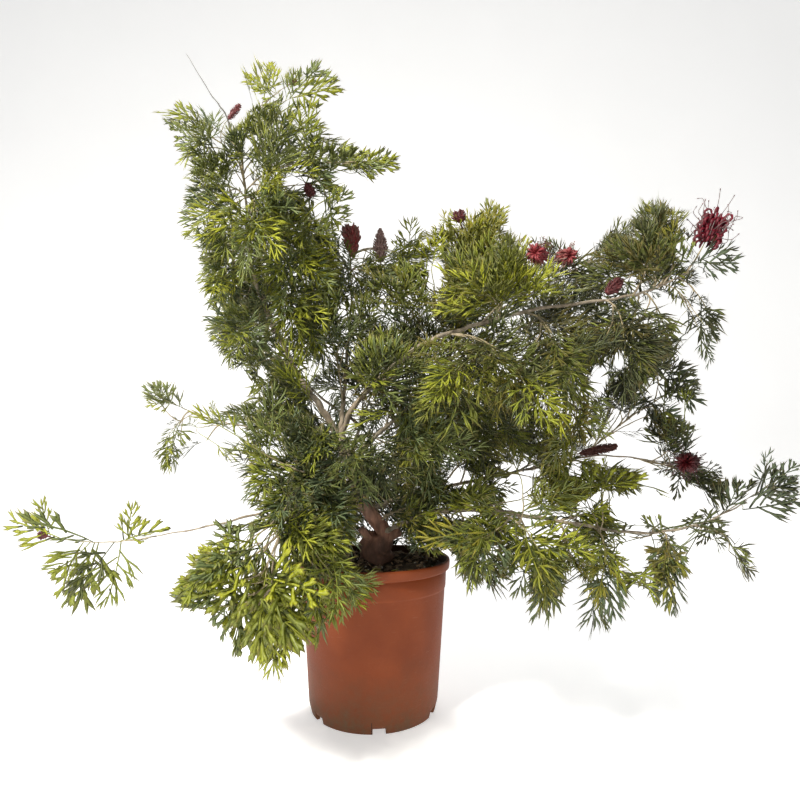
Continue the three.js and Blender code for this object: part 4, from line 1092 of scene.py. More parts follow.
def leaf_places(curve, seed, lift, offset):
    length = curve.length()
    count = max(2, math.floor(length * (1 - BARE_SHARE) / LEAF_PITCH))
    for i in range(count):
        share = max(LOWEST_LEAF_SHARE, 1 - ((i + offset) * LEAF_PITCH + 2) / length)
        own = seed * 31 + i + 977 * offset
        base = curve.point(share)
        forward = curve.tangent(share)
        over = unit(UP - forward * UP.dot(forward))
        across = np.cross(forward, over)
        turn = draw(seed, 1) * 2 * math.pi + (i + offset) * GOLDEN_TURN + TURN_SPREAD * draw(own, 2)
        turn += math.pi * (offset > 0)
        opening = min(WIDEST_OPENING, TIP_OPENING + OPENING_STEP * i)
        opened = opening + OPENING_SPREAD * (draw(own, 3) - 0.5) + EXTRA_OPENING * offset
        sideways = over * math.cos(turn) + across * math.sin(turn)
        along = forward * math.cos(opened) + sideways * math.sin(opened)
        along[2] += lift * LIFT_WEIGHT + LIFT_SPREAD * (draw(own, 4) - 0.5)
        along = unit(along)
        facing = np.array([FACING[k] + FACING_SPREAD[k] * (draw(own, 5 + k) - 0.5) for k in range(3)])
        facing = unit(facing - along * facing.dot(along))
        reach = mix(*LEAF_LENGTHS, draw(own, 8)) * (TIP_LEAF_SCALE if i == 0 else 1)
        yield i, share, base, along, facing, reach


def add_twig(skin, curve, radii, seed, reach):
    steps = max(4, round(curve.length() * reach / TWIG_STEP))
    line = np.array([curve.point(reach * i / steps) for i in range(steps + 1)])
    bumps = np.array([0.5 * math.sin(2.4 * i + seed) for i in range(steps + 1)])
    line[1:-1, 0] += bumps[1:-1]
    line[1:-1, 2] += 0.7 * bumps[::-1][1:-1]
    widths = np.array([mix(radii[0], radii[1], i / steps) for i in range(steps + 1)])
    widths *= 1 + 0.12 * np.sin(np.arange(steps + 1) * 2.1 + seed)
    points, quads, triangles = tube(line, widths, TWIG_SIDES)
    share = np.repeat(np.linspace(0, 1, steps + 1), TWIG_SIDES)
    age = np.concatenate([1 - share, [1, 0]])
    skin.add(points, quads, triangles, paint=1, age=age, chance=draw(seed, 3))


# Materials are built from nodes by these short helpers
class Paint:
    def __init__(self, name):
        self.material = bpy.data.materials.new(name)
        self.material.use_nodes = True
        self.nodes = self.material.node_tree.nodes
        self.surface = self.nodes["Principled BSDF"]

    def node(self, kind, settings=None, **inputs):
        made = self.nodes.new(kind)
        for key, value in (settings or {}).items():
            setattr(made, key, value)
        for key, value in inputs.items():
            self.feed(made.inputs[key.replace("_", " ")], value)
        return made

    def feed(self, socket, value):
        if isinstance(value, bpy.types.NodeSocket):
            self.material.node_tree.links.new(value, socket)
        elif isinstance(value, tuple) and len(value) == 3 and socket.type == "RGBA":
            socket.default_value = (*value, 1)
        else:
            socket.default_value = value

    def set(self, key, value):
        self.feed(self.surface.inputs[key], value)

    def value(self, name):
        return self.node("ShaderNodeAttribute", {"attribute_name": name}).outputs["Fac"]

    def place(self, stretch=(1, 1, 1)):
        where = self.node("ShaderNodeTexCoord").outputs["Object"]
        if stretch == (1, 1, 1):
            return where
        return self.node("ShaderNodeMapping", Vector=where, Scale=stretch).outputs["Vector"]

    def noise(self, scale, detail=3.0, roughness=0.55, stretch=(1, 1, 1)):
        return self.node(
            "ShaderNodeTexNoise", Vector=self.place(stretch), Scale=scale, Detail=detail, Roughness=roughness
        ).outputs["Fac"]

    def cells(self, scale, stretch=(1, 1, 1)):
        made = self.node("ShaderNodeTexVoronoi", Vector=self.place(stretch), Scale=scale)
        return made.outputs["Distance"]

    def ramp(self, share, *stops):
        made = self.node("ShaderNodeValToRGB", Fac=share)
        band = made.color_ramp
        while len(band.elements) < len(stops):
            band.elements.new(1)
        for element, (place, colour) in zip(band.elements, stops):
            element.position = place
            element.color = (*colour, 1) if isinstance(colour, tuple) else (colour, colour, colour, 1)
        return made.outputs["Color"]

    def math(self, kind, a, b=0.0, clamp=False):
        made = self.node("ShaderNodeMath", {"operation": kind, "use_clamp": clamp})
        self.feed(made.inputs[0], a)
        self.feed(made.inputs[1], b)
        return made.outputs[0]

    def times(self, first, *others):
        for other in others:
            first = self.math("MULTIPLY", first, other)
        return first

    def stirred(self, value, noise, amount, clamp=False):
        return self.math("ADD", value, self.times(self.math("SUBTRACT", noise, 0.5), amount), clamp)

    def blend(self, share, first, second, kind="MIX"):
        made = self.node("ShaderNodeMix", {"data_type": "RGBA", "blend_type": kind})
        for place, value in (("Factor", share), (6, first), (7, second)):
            self.feed(made.inputs[place], value)
        return made.outputs[2]

    def speckled(self, colour, noise, low, high):
        return self.blend(1.0, colour, self.ramp(noise, (0.3, low), (0.7, high)), "MULTIPLY")

    def bump(self, height, strength, distance):
        made = self.node("ShaderNodeBump", Height=height, Strength=strength, Distance=distance)
        return made.outputs["Normal"]

    def finish(self, colour, roughness, normal=None, gloss=None):
        self.set("Base Color", colour)
        self.set("Roughness", roughness)
        if normal is not None:
            self.set("Normal", normal)
        if gloss is not None:
            self.set("Specular IOR Level", gloss)
        return self.material


def leaf_material():
    p = Paint("leaf_surface")
    chance = p.value("chance")
    mottle = p.noise(420, 4)
    colour = p.ramp(
        p.stirred(p.value("age"), p.noise(38), 0.45, True),
        (0.0, (0.345, 0.36, 0.014)),
        (0.3, (0.208, 0.235, 0.014)),
        (0.55, (0.108, 0.128, 0.018)),
        (0.78, (0.044, 0.055, 0.014)),
        (0.95, (0.014, 0.017, 0.007)),
    )
    colour = p.blend(p.ramp(chance, (0.0, 0.0), (0.8, 0.0), (1.0, 0.65)), colour, (0.20, 0.145, 0.012))
    colour = p.blend(p.ramp(chance, (0.0, 0.75), (0.45, 0.0)), colour, (0.088, 0.132, 0.078))
    colour = p.speckled(colour, mottle, 0.7, 1.3)
    # A pale line along the ridge of every lobe and prong: partly the pale midrib, partly a painted highlight
    vein = p.times(p.math("POWER", p.value("vein"), 5), 0.45)
    colour = p.blend(vein, colour, (0.36, 0.38, 0.16))
    colour = p.blend(p.ramp(p.value("tip"), (0.75, 0.0), (1.0, 0.8)), colour, (0.26, 0.20, 0.07))
    colour = p.blend(p.times(p.value("under"), 0.6), colour, (0.12, 0.14, 0.06))
    return p.finish(colour, p.ramp(mottle, (0.3, 0.34), (0.7, 0.55)), p.bump(mottle, 0.35, 0.0004), 0.3)


def twig_material():
    p = Paint("twig_bark")
    streaks = p.noise(260, 4, 0.6)
    age = p.stirred(p.value("age"), streaks, 0.5, True)
    colour = p.ramp(age, (0.0, (0.30, 0.29, 0.09)), (0.4, (0.38, 0.31, 0.17)), (1.0, (0.44, 0.36, 0.25)))
    colour = p.speckled(colour, streaks, 0.6, 1.2)
    return p.finish(colour, p.ramp(streaks, (0.2, 0.6), (0.8, 0.85)), p.bump(streaks, 0.4, 0.0006))


def bark_material():
    p = Paint("branch_bark")
    grain = p.noise(140, 6, 0.62, (1, 1, 0.35))
    cracks = p.cells(190, (1, 1, 0.3))
    colour = p.ramp(
        grain, (0.25, (0.15, 0.11, 0.075)), (0.5, (0.36, 0.29, 0.205)), (0.75, (0.56, 0.48, 0.36))
    )
    colour = p.blend(p.ramp(p.noise(28, 3), (0.45, 0.0), (0.7, 0.5)), colour, (0.40, 0.37, 0.29))
    old_bark = p.ramp(grain, (0.3, (0.17, 0.070, 0.042)), (0.7, (0.52, 0.24, 0.155)))
    colour = p.blend(p.value("age"), colour, old_bark)
    colour = p.blend(p.value("chance"), colour, (0.035, 0.02, 0.012))
    colour = p.blend(p.value("tip"), colour, (0.13, 0.135, 0.13))
    colour = p.blend(p.ramp(cracks, (0.0, 0.0), (0.35, 0.0), (0.9, 0.5)), colour, (0.08, 0.05, 0.035))
    relief = p.bump(p.math("ADD", grain, p.times(cracks, -0.5)), 0.7, 0.0015)
    return p.finish(colour, p.ramp(grain, (0.2, 0.65), (0.8, 0.9)), relief)


def petal_material(name, deep, bright, pale):
    p = Paint(name)
    fleck = p.noise(650, 3)
    colour = p.ramp(p.value("tip"), (0.0, bright), (0.55, deep), (0.9, deep), (1.0, pale))
    colour = p.blend(p.ramp(p.value("chance"), (0.4, 0.0), (1.0, 0.5)), colour, bright)
    colour = p.speckled(colour, fleck, 0.6, 1.3)
    return p.finish(colour, p.ramp(fleck, (0.2, 0.4), (0.8, 0.65)), p.bump(fleck, 0.3, 0.0003))


# Moulded plastic, dusty at the foot and scuffed, with painted shade on the band at the top and inside the
# rim, and a fine crack at the foot
def pot_material():
    p = Paint("terracotta_plastic")
    x, y, z = p.node("ShaderNodeSeparateXYZ", Vector=p.place()).outputs
    height = p.times(z, 1 / (POT_HEIGHT * MM))
    cloud = p.noise(22, 4)
    fine = p.noise(700, 3)
    colour = p.ramp(cloud, (0.3, (0.195, 0.039, 0.009)), (0.7, (0.245, 0.053, 0.013)))
    # Painted shade: the band at the top of the pot is darkened a little for the shadow of the crown on it
    colour = p.blend(p.ramp(height, (0.9, 0.0), (0.95, 0.4)), colour, (0.19, 0.043, 0.012))
    dust = p.ramp(p.stirred(height, cloud, 0.45), (0.0, 0.95), (0.13, 0.5), (0.42, 0.0))
    dust = p.times(dust, p.ramp(p.noise(120, 5, 0.65), (0.3, 0.3), (0.65, 1.0)))
    colour = p.blend(dust, colour, (0.14, 0.082, 0.042))
    colour = p.blend(p.ramp(p.noise(900, 2), (0.62, 0.0), (0.75, 0.4)), colour, (0.12, 0.045, 0.022))
    scuffs = p.ramp(p.noise(60, 5, 0.7, (1, 1, 6)), (0.6, 0.0), (0.72, 0.25))
    colour = p.blend(scuffs, colour, (0.30, 0.13, 0.07))
    # Painted shade: the inner wall above the groove, inside the rim, is darkened nearly to black for the
    # shade inside the pot
    reach = p.math("ADD", p.math("POWER", x, 2), p.math("POWER", y, 2))
    within = p.math("LESS_THAN", reach, ((RIM_RADIUS - RIM_LIP + 0.2) * MM) ** 2)
    above = p.math("GREATER_THAN", z, (GROOVE_HEIGHT + 1) * MM)
    colour = p.blend(p.times(within, above, 0.85), colour, (0.05, 0.026, 0.014))
    beside = p.math("ABSOLUTE", p.math("ADD", x, CRACK_SIDE * MM))
    edges = ((beside, CRACK_WIDTH * MM), (y, 0.0), (z, CRACK_HEIGHT * MM))
    crack = p.times(*(p.math("LESS_THAN", value, edge) for value, edge in edges))
    colour = p.blend(crack, colour, (0.06, 0.03, 0.02))
    roughness = p.ramp(p.math("ADD", fine, p.times(dust, 0.3)), (0.2, 0.42), (0.9, 0.72))
    return p.finish(colour, roughness, p.bump(p.math("ADD", fine, p.noise(90, 2)), 0.25, 0.0006), 0.22)


def soil_material():
    p = Paint("potting_mix")
    crumb = p.noise(260, 6, 0.7)
    colour = p.ramp(
        crumb, (0.3, (0.014, 0.009, 0.005)), (0.55, (0.065, 0.042, 0.022)), (0.8, (0.16, 0.105, 0.06))
    )
    colour = p.blend(p.ramp(p.noise(55, 3), (0.5, 0.0), (0.7, 0.5)), colour, (0.055, 0.036, 0.024))
    return p.finish(colour, p.ramp(crumb, (0.2, 0.75), (0.8, 0.97)), p.bump(crumb, 0.9, 0.002))


def chip_material(name, dark, pale):
    p = Paint(name)
    grain = p.noise(500, 5, 0.65, (1, 0.4, 1))
    tone = p.math("ADD", p.times(grain, 0.5), p.times(p.value("chance"), 0.5))
    colour = p.ramp(tone, (0.25, dark), (0.8, pale))
    return p.finish(colour, p.ramp(grain, (0.2, 0.7), (0.8, 0.92)), p.bump(grain, 0.5, 0.0008))


# Side shoots between those of the solids, which fill a spray
def filler_shoots(shoots, count, random):
    main = shoots[0]
    ends = [shoot.point(1) for shoot in shoots]
    made = []
    for _ in range(count):
        share = random.uniform(*EXTRA_STARTS)
        start = main.point(share)
        target = ends[int(random.integers(len(ends)))]
        reach = random.uniform(*EXTRA_REACHES)
        span = (target - start) * reach
        end = start + span + random.normal(0, EXTRA_SPREAD, 3)
        span = end - start
        middle = start + main.tangent(share) * EXTRA_FORWARD * np.linalg.norm(span) + span * BEND_SHARE
        curve = Bend(start, middle, end)
        if is_open(curve.points(12)).mean() > MIN_SHOOT_OPEN:
            made.append(curve)
    return made


# Leaves along a shoot and extra ones between them, and how far along it the first of them stands
def grow_leaves(skin, curve, seed, row, flowering, random):
    *_, lift, age, breadth, fullness, _ = row
    hues = hues_of(row)
    size = mix(1, LARGEST_LEAF, min(1, max(0, breadth - 1)))
    reached = 1 if flowering else 0
    for offset in (0, 0.5):
        for i, share, base, along, facing, reach in leaf_places(curve, seed, lift, offset):
            if offset and random.uniform() > fullness or fullness < SPARSE and i % 2:
                continue
            if i == 0 and flowering:
                continue
            old = age + AGE_STEP * i + TIP_AGE + random.normal(0, AGE_SPREAD)
            width = breadth * mix(*BREADTHS, min(1, i / INNER_LEAF))
            template = pick_template(width, random)
            old = min(1, max(0, old))
            if add_leaf(skin, template, base, along, facing, reach * size, old, hues, random):
                reached = max(reached, share)
    return reached


# Sprays
def build_spray(number, row):
    name, *_, fullness, _ = row
    random = np.random.default_rng(SPRAY_SEED + number)
    skin = Skin()
    shoots = shoots_of(row)
    flowering = [flower[2] for flower in FLOWERS + SMALL_BUDS if flower[1] == name]
    known_shoots = len(shoots)
    set_leaves = [(*foot_at(shoots, leaf[:2]), *leaf[2:]) for leaf in SET_LEAVES.get(name, [])]
    shoots += filler_shoots(shoots, round(EXTRA_SHOOTS * fullness), random)
    for k, curve in enumerate(shoots):
        seed = number * 4 + k + 1 if k < known_shoots else 5000 + number * 10 + k
        reached = grow_leaves(skin, curve, seed, row, k in flowering, random)
        for shoot, share, column, line, back, leaf_age, leaf_breadth in set_leaves:
            if shoot == k:
                foot = curve.point(share)
                tip = np.round(place_at(column, line, foot[1] + back))
                set_leaf(skin, foot, tip, max(0, leaf_age), leaf_breadth, random)
                reached = max(reached, share)
        if reached > 0:
            radii = np.array(SIDE_SHOOT_RADII if k else MAIN_SHOOT_RADII)
            add_twig(skin, curve, radii * (THIN_TWIG if fullness < SPARSE else 1), seed, reached)
    if not skin.count:
        if row not in SPRAYS:
            return
        add_twig(skin, shoots[0], np.array(MAIN_SHOOT_RADII), number * 4 + 1, 1)
    piece = skin.make("foliage_" + name, [leaf_paint, twig_paint])
    hand_over(piece, "leaf", *(["spray_" + name] if row in SPRAYS else []))


leaf_paint = leaf_material()
twig_paint = twig_material()

for number, row in enumerate(SPRAYS + FILLING):
    build_spray(number, row)


# Wood: tubes that swell in lobes, which turn along them
def knobs(strengths, twist, fine_lobes, fine_twist):
    def shape(i, angles):
        coarse = strengths[i] * np.sin(3 * angles + twist * i)
        return 1 + coarse + 0.5 * strengths[i] * np.sin(fine_lobes * angles - fine_twist * i)

    return shape


def add_trunk(skin):
    line = branch_curves["trunk"].points(TRUNK_STEPS)
    shares = np.arange(TRUNK_STEPS + 1) / TRUNK_STEPS
    radii = np.interp(shares, np.linspace(0, 1, len(TRUNK_RADII)), TRUNK_RADII)
    strengths = np.where(line[:, 2] < COLLAR_TOP, COLLAR_KNOBS, TRUNK_KNOBS)
    points, quads, triangles = tube(line, radii, TRUNK_SIDES, knobs(strengths, 0.6, 7, 0.9))
    young = np.clip((points[:, 2] - COLLAR_TOP - 20) / 60, 0, 1)
    collar = np.clip((COLLAR_TOP + 4 - points[:, 2]) / 14, 0, 1)
    skin.add(points, quads, triangles, age=0.9 * (1 - young), chance=0.6 * collar)


def add_branch(skin, number, name, ends):
    curve = branch_curves[name]
    steps = max(5, round(curve.length() / BRANCH_STEP))
    line = curve.points(steps)
    wave = np.arange(steps + 1)
    line[1:-1, 0] += 0.6 * np.sin(1.1 * wave + number)[1:-1]
    line[1:-1, 2] += 0.6 * np.cos(0.9 * wave + 2 * number)[1:-1]
    stub = name.startswith("stub")
    slim = (1, 1) if stub else BRANCH_SHARES
    radii = np.linspace(ends[0] * slim[0], ends[1] * slim[1], steps + 1)
    radii *= 1 + 0.09 * np.sin(1.7 * wave + number) + 0.05 * np.sin(4.1 * wave)
    shape = knobs(np.full(steps + 1, BRANCH_KNOBS), 0.8, 5, 1.04)
    skin.add(*tube(line, radii, BRANCH_SIDES, shape), age=0.8 * stub, tip=0.85 * name.startswith("dead"))


def build_wood():
    skin = Skin()
    add_trunk(skin)
    for number, (name, (ends, _)) in enumerate(BRANCHES.items()):
        add_branch(skin, number, name, ends)
    hand_over(skin.make("bark", [bark_material()]), "bark", "stem_and_branches")


build_wood()


# Flowers: a stalk, a core and many small parts round it
def side_of(axis):
    return unit(np.cross([0.4, 0.7, 0.2], axis))


def add_tube(skin, line, radii, sides, tips, chance=0.0, paint=0):
    points, quads, triangles = tube(line, radii, sides)
    share = np.repeat(np.linspace(tips[0], tips[1], len(line)), sides)
    skin.add(points, quads, triangles, paint=paint, tip=np.concatenate([share, tips]), chance=chance)


def add_spider(skin, centre, axis, radius, length, random):
    side = side_of(axis)
    core = np.array([centre + axis * length * (k / 6 - 0.5) for k in range(7)])
    girth = [radius * 0.5 * math.sin(math.pi * mix(0.12, 0.88, k / 6)) for k in range(7)]
    add_tube(skin, core, girth, 10, (0.5, 0.6))
    for i in range(FLORETS):
        share = (i + 0.5) / FLORETS
        outward = turned(side, axis, i * GOLDEN_TURN)
        lean = mix(-0.25, 0.9, share)
        root = centre + axis * (share - 0.5) * length * 0.9
        reach = radius * random.uniform(0.65, 1.05)
        knee = root + outward * reach * 0.62 + axis * reach * (lean + 0.1)
        shoulder = root + outward * reach * 0.95 + axis * reach * (lean - 0.2)
        nose = root + outward * reach * 0.72 + axis * reach * (lean - 0.55)
        chance = random.uniform()
        add_tube(skin, Through([root, knee, shoulder, nose]).points(6), FLORET_RADII, 5, (0.0, 0.6), chance)
        if random.uniform() < STYLED_SHARE:
            add_style(skin, knee, shoulder, outward, axis, reach, chance, random)


# The long curled thread that stands out of a floret, with a knob at its end
def add_style(skin, knee, shoulder, outward, axis, reach, chance, random):
    bow = turned(outward, axis, random.uniform(-0.5, 0.5))
    away = shoulder + bow * reach * random.uniform(0.2, 0.9) + axis * reach * random.uniform(0.3, 0.9)
    curl = away + bow * reach * random.uniform(-0.5, 0.6) + axis * reach * random.uniform(-0.1, 0.8)
    style = Through([knee, shoulder + axis * reach * 0.25, away, curl]).points(8)
    add_tube(skin, style, STYLE_RADIUS, 4, (0.94, 1.0), 0)
    knob = np.array([style[-1], style[-1] + unit(style[-1] - style[-2]) * 1.8])
    add_tube(skin, knob, [0.8, 0.6], 5, (0.95, 1.0), chance)


# The girth of a bud or cone along its length, as a share of its radius
def girth_at(share, foot, top):
    return mix(foot, top, share) * math.sin(math.pi * mix(0.12, 0.93, share)) ** 0.5


def add_scales(skin, centre, axis, radius, length, count, taper, random):
    side = side_of(axis)
    for i in range(count):
        share = (i + 0.5) / count
        outward = turned(side, axis, i * GOLDEN_TURN + random.normal(0, 0.2))
        girth = girth_at(share, *taper)
        root = centre + axis * (share - 0.5) * length * 0.92 + outward * radius * 0.42 * girth
        reach = radius * random.uniform(0.4, 0.8) * girth
        angle = random.uniform(0.75, 1.35)
        tip = root + (outward * math.sin(angle) + axis * math.cos(angle)) * reach
        hook = tip + axis * reach * 0.3 - outward * reach * 0.1
        line = Bend(root, tip, hook).points(3)
        width = radius * 0.11
        add_tube(skin, line, [0.7 * width, width, 0.8 * width, 0.2 * width], 4, (0.0, 1.0), random.uniform())


def build_flower(number, row):
    name, spray, shoot, kind, radius, length = row
    foot, axis = flower_place(name, spray, shoot)
    _, stalk, *taper = STANCES.get(name, (None, STALK_LENGTH, 1, 1))
    centre = foot + axis * (stalk + length / 2)
    random = np.random.default_rng(FLOWER_SEED + number)
    skin = Skin()
    add_tube(skin, [foot, foot + axis * (stalk + length * 0.95)], [1.0, 0.7], 8, (0.2, 0.4), 0.2)
    if kind == "spider":
        add_spider(skin, centre, axis, radius, length, random)
    else:
        core = np.array([centre + axis * length * (k / 8 - 0.5) for k in range(9)])
        girth = [radius * 0.5 * girth_at(k / 8, *taper) for k in range(9)]
        add_tube(skin, core, girth, 12, (0.2, 0.5), 0.5)
        add_scales(skin, centre, axis, radius, length, SCALES[kind], taper, random)
    piece = skin.make(name + "_parts", [petals[PETAL_OF.get(name, PETAL_OF[kind])]])
    hand_over(piece, "flower", *([name] if row in FLOWERS else []))


# Colours of the petals and scales: deep, bright and pale
PETALS = {
    "crimson_petal": ((0.085, 0.003, 0.009), (0.24, 0.008, 0.026), (0.24, 0.19, 0.18)),
    "dark_petal": ((0.05, 0.002, 0.004), (0.13, 0.005, 0.009), (0.14, 0.08, 0.07)),
    "rust_bud": ((0.10, 0.030, 0.024), (0.16, 0.05, 0.035), (0.24, 0.14, 0.10)),
    "red_petal": ((0.24, 0.028, 0.034), (0.42, 0.07, 0.08), (0.16, 0.07, 0.06)),
    "maroon_bud": ((0.115, 0.028, 0.032), (0.20, 0.05, 0.05), (0.24, 0.12, 0.10)),
    "brown_cone": ((0.20, 0.085, 0.070), (0.42, 0.05, 0.06), (0.42, 0.30, 0.24)),
    "grey_cone": ((0.34, 0.22, 0.20), (0.24, 0.14, 0.13), (0.62, 0.52, 0.45)),
    "pink_bud": ((0.20, 0.05, 0.055), (0.28, 0.08, 0.08), (0.30, 0.16, 0.13)),
}
PETAL_OF = {
    "spider": "crimson_petal",
    "bud": "maroon_bud",
    "cone": "brown_cone",
    "flower_middle_left": "red_petal",
    "flower_middle_right": "brown_cone",
    "cone_grey": "grey_cone",
    "bud_top_left": "pink_bud",
    "flower_right_low": "dark_petal",
    "bud_low_right": "rust_bud",
}
petals = {name: petal_material(name, *colours) for name, colours in PETALS.items()}
for number, row in enumerate(FLOWERS + SMALL_BUDS):
    build_flower(number, row)


# Pot: a turned shell whose foot is lifted at its notches
def pot_profile():
    recess = FOOT_RADIUS - FOOT_WIDTH
    inner_rim = RIM_RADIUS - RIM_LIP
    profile = [
        (0, 0), (BOSS_RADIUS - 1, 0), (BOSS_RADIUS, 0.6), (BOSS_RADIUS, FLOOR_UNDERSIDE),
        (recess, FLOOR_UNDERSIDE), (recess, 0.8), (recess + 0.6, 0),
        (FOOT_RADIUS - 1, 0), (FOOT_RADIUS - 0.2, 0.5), (FOOT_RADIUS, 1.4),
        (HEEL_RADIUS - 0.5, HEEL_HEIGHT - 2), (HEEL_RADIUS, HEEL_HEIGHT),
    ]
    for share in (0.1, 0.3, 0.5, 0.7, 0.9):
        profile.append((mix(HEEL_RADIUS, STEP_RADIUS, share) + 0.1, mix(HEEL_HEIGHT, STEP_HEIGHT, share)))
    profile += [
        (STEP_RADIUS, STEP_HEIGHT - 0.8), (STEP_RADIUS + 0.1, STEP_HEIGHT),
        (STEP_RADIUS + STEP_DEPTH, STEP_HEIGHT + 0.7), (STEP_RADIUS + STEP_DEPTH + 0.2, STEP_HEIGHT + 2),
        (inner_rim - 0.6, GROOVE_HEIGHT - 2.2), (inner_rim - 1.4, GROOVE_HEIGHT - 1.2),
        (inner_rim - 1.5, GROOVE_HEIGHT - 0.2), (inner_rim - 0.4, GROOVE_HEIGHT + 0.4),
        (RIM_RADIUS - 1.6, GROOVE_HEIGHT + 0.7), (RIM_RADIUS - 0.8, GROOVE_HEIGHT + 1.5),
        (RIM_RADIUS - 0.4, GROOVE_HEIGHT + 3), (RIM_RADIUS, POT_HEIGHT - 4), (RIM_RADIUS, POT_HEIGHT - 2.4),
        (RIM_RADIUS - 0.4, POT_HEIGHT - 0.9), (RIM_RADIUS - 1.3, POT_HEIGHT - 0.15),
        (RIM_RADIUS - 2.4, POT_HEIGHT), (RIM_RADIUS - 3.5, POT_HEIGHT - 0.3), (inner_rim, POT_HEIGHT - 1.2),
        (inner_rim - 0.5, POT_HEIGHT - 3), (inner_rim - POT_WALL, GROOVE_HEIGHT),
        (HEEL_RADIUS - POT_WALL, HEEL_HEIGHT), (FOOT_RADIUS - POT_WALL, FLOOR_TOP), (0, FLOOR_TOP),
    ]
    return profile


def pot_angles():
    half = math.asin(NOTCH_WIDTH / 2 / FOOT_RADIUS)
    angles = []
    for notch in range(NOTCH_COUNT):
        middle = FIRST_NOTCH_ANGLE + 2 * math.pi * notch / NOTCH_COUNT
        following = middle + 2 * math.pi / NOTCH_COUNT
        angles += list(np.linspace(middle - half + NOTCH_EDGE, middle + half - NOTCH_EDGE, NOTCH_STEPS))
        angles += list(np.linspace(middle + half, following - half, WALL_STEPS))
    lifted = ([True] * NOTCH_STEPS + [False] * WALL_STEPS) * NOTCH_COUNT
    return np.array(angles), np.array(lifted)


def build_pot():
    angles, lifted = pot_angles()
    rings = []
    for radius, height in pot_profile()[1:-1]:
        outer = radius > FOOT_RADIUS - FOOT_WIDTH - 1 and height < NOTCH_HEIGHT
        heights = np.where(lifted & outer, NOTCH_HEIGHT + 0.05 * height, height)
        outside = radius > RIM_RADIUS - RIM_LIP - 3 or height < GROOVE_HEIGHT - 4
        reach = radius + 0.12 * np.sin(3 * angles + 0.02 * height) * outside
        rings.append(np.stack([reach * np.cos(angles), reach * np.sin(angles), heights], 1))
    skin = Skin()
    skin.add(*ring_mesh(rings, [[0, 0, 0], [0, 0, FLOOR_TOP]]))
    hand_over(skin.make("pot_shell", [pot_material()]), "pot", "pot")


build_pot()


# Soil: the mound of the solids with finer crumbs, and bits lying on it
def soil_height(x, y):
    share = np.hypot(x, y) / STEP_RADIUS
    coarse = np.sin(x / COARSE_LUMP + 0.6) * np.cos(y / COARSE_LUMP)
    fine = np.sin(x / FINE_LUMP - y / (1.2 * FINE_LUMP))
    fade = np.minimum(1, 3 * (1.05 - share))
    return SOIL_EDGE_HEIGHT + SOIL_MOUND * (1 - share * share) + SOIL_LUMP * (coarse + 0.7 * fine) * fade


def add_mound(skin, random):
    angles = np.arange(SOIL_COLUMNS) * 2 * math.pi / SOIL_COLUMNS
    rings = []
    for i in range(1, SOIL_RINGS + 1):
        reach = SOIL_RADIUS * i / SOIL_RINGS
        x, y = reach * np.cos(angles), reach * np.sin(angles)
        crumbs = 0.9 * np.sin(1.9 * x + 0.7 * y) * np.sin(1.7 * y - 0.4 * x)
        crumbs += random.normal(0, 0.55, SOIL_COLUMNS)
        height = soil_height(x, y) + crumbs * (0.3 if i == SOIL_RINGS else 1)
        rings.append(np.stack([x, y, height], 1))
    rings.append(rings[-1] * [1, 1, 0] + [0, 0, SOIL_UNDERSIDE])
    skin.add(*ring_mesh(rings, [[0, 0, soil_height(0, 0)], [0, 0, SOIL_UNDERSIDE]], inward=True))


# Bits of bark, and perlite among them
def add_bits(skin, random):
    for number in range(BIT_COUNT):
        reach = SOIL_RADIUS * 0.95 * math.sqrt(random.uniform(0.06, 1))
        angle = random.uniform(0, 2 * math.pi)
        x, y = reach * math.cos(angle), reach * math.sin(angle)
        white = number % PERLITE_EVERY == 0
        size = random.uniform(*(PERLITE_SIZES if white else BIT_SIZES))
        stretch = 1.0 if white else random.uniform(*BIT_STRETCH)
        add_chip(skin, [x, y, soil_height(x, y) + 0.3 * size], size, stretch, 2 if white else 1, random)


def add_chip(skin, centre, size, stretch, paint, random):
    corners = [[x, y, z] for x in (-1, 1) for y in (-1, 1) for z in (-1, 1)]
    faces = [[0, 1, 3, 2], [4, 6, 7, 5], [0, 4, 5, 1], [2, 3, 7, 6], [0, 2, 6, 4], [1, 5, 7, 3]]
    shape = np.array(corners, float) * [stretch, 1, 0.5 if paint == 1 else 0.9] * size / 2
    shape *= random.uniform(0.65, 1.2, (8, 1))
    shape += random.normal(0, 0.12 * size, (8, 3))
    turn, lean = random.uniform(0, 6.3), random.normal(0, 0.35)
    c, s = math.cos(turn), math.sin(turn)
    around = np.array([[c, s, 0], [-s, c, 0], [0, 0, 1]])
    c, s = math.cos(lean), math.sin(lean)
    tilt = np.array([[c, 0, s], [0, 1, 0], [-s, 0, c]])
    skin.add(np.array(centre) + shape @ tilt @ around, faces, [], paint=paint, chance=random.uniform())


def add_fallen_leaves(skin):
    oval = [[0, 0], [0, 0.3], [0, 0.7], [0, 1]]
    points, quads, triangles, under, tip_under, vein = strip(oval, [0.12, 0.3, 0.24], 0.03)
    shades = {"under": (under, tip_under), "age": 0.2, "chance": 0.97, "vein": vein}
    for x, y, heading in FALLEN_LEAVES:
        base = np.array([x, y, soil_height(x, y) + 3.0])
        along = np.array([math.cos(heading), math.sin(heading), 0.1])
        across = unit(np.cross(along, UP))
        along = unit(along)
        axes = np.stack([across, along, np.cross(across, along)])
        skin.add(base + points * FALLEN_LEAF_LENGTH @ axes, quads, triangles, paint=3, **shades)


def build_soil():
    random = np.random.default_rng(SOIL_SEED)
    skin = Skin()
    add_mound(skin, random)
    add_bits(skin, random)
    add_fallen_leaves(skin)
    paints = [
        soil_material(),
        chip_material("bark_chip", (0.04, 0.022, 0.012), (0.50, 0.35, 0.22)),
        chip_material("perlite", (0.6, 0.57, 0.5), (0.85, 0.83, 0.78)),
        leaf_paint,
    ]
    hand_over(skin.make("potting_mix", paints), "soil", "soil")


build_soil()


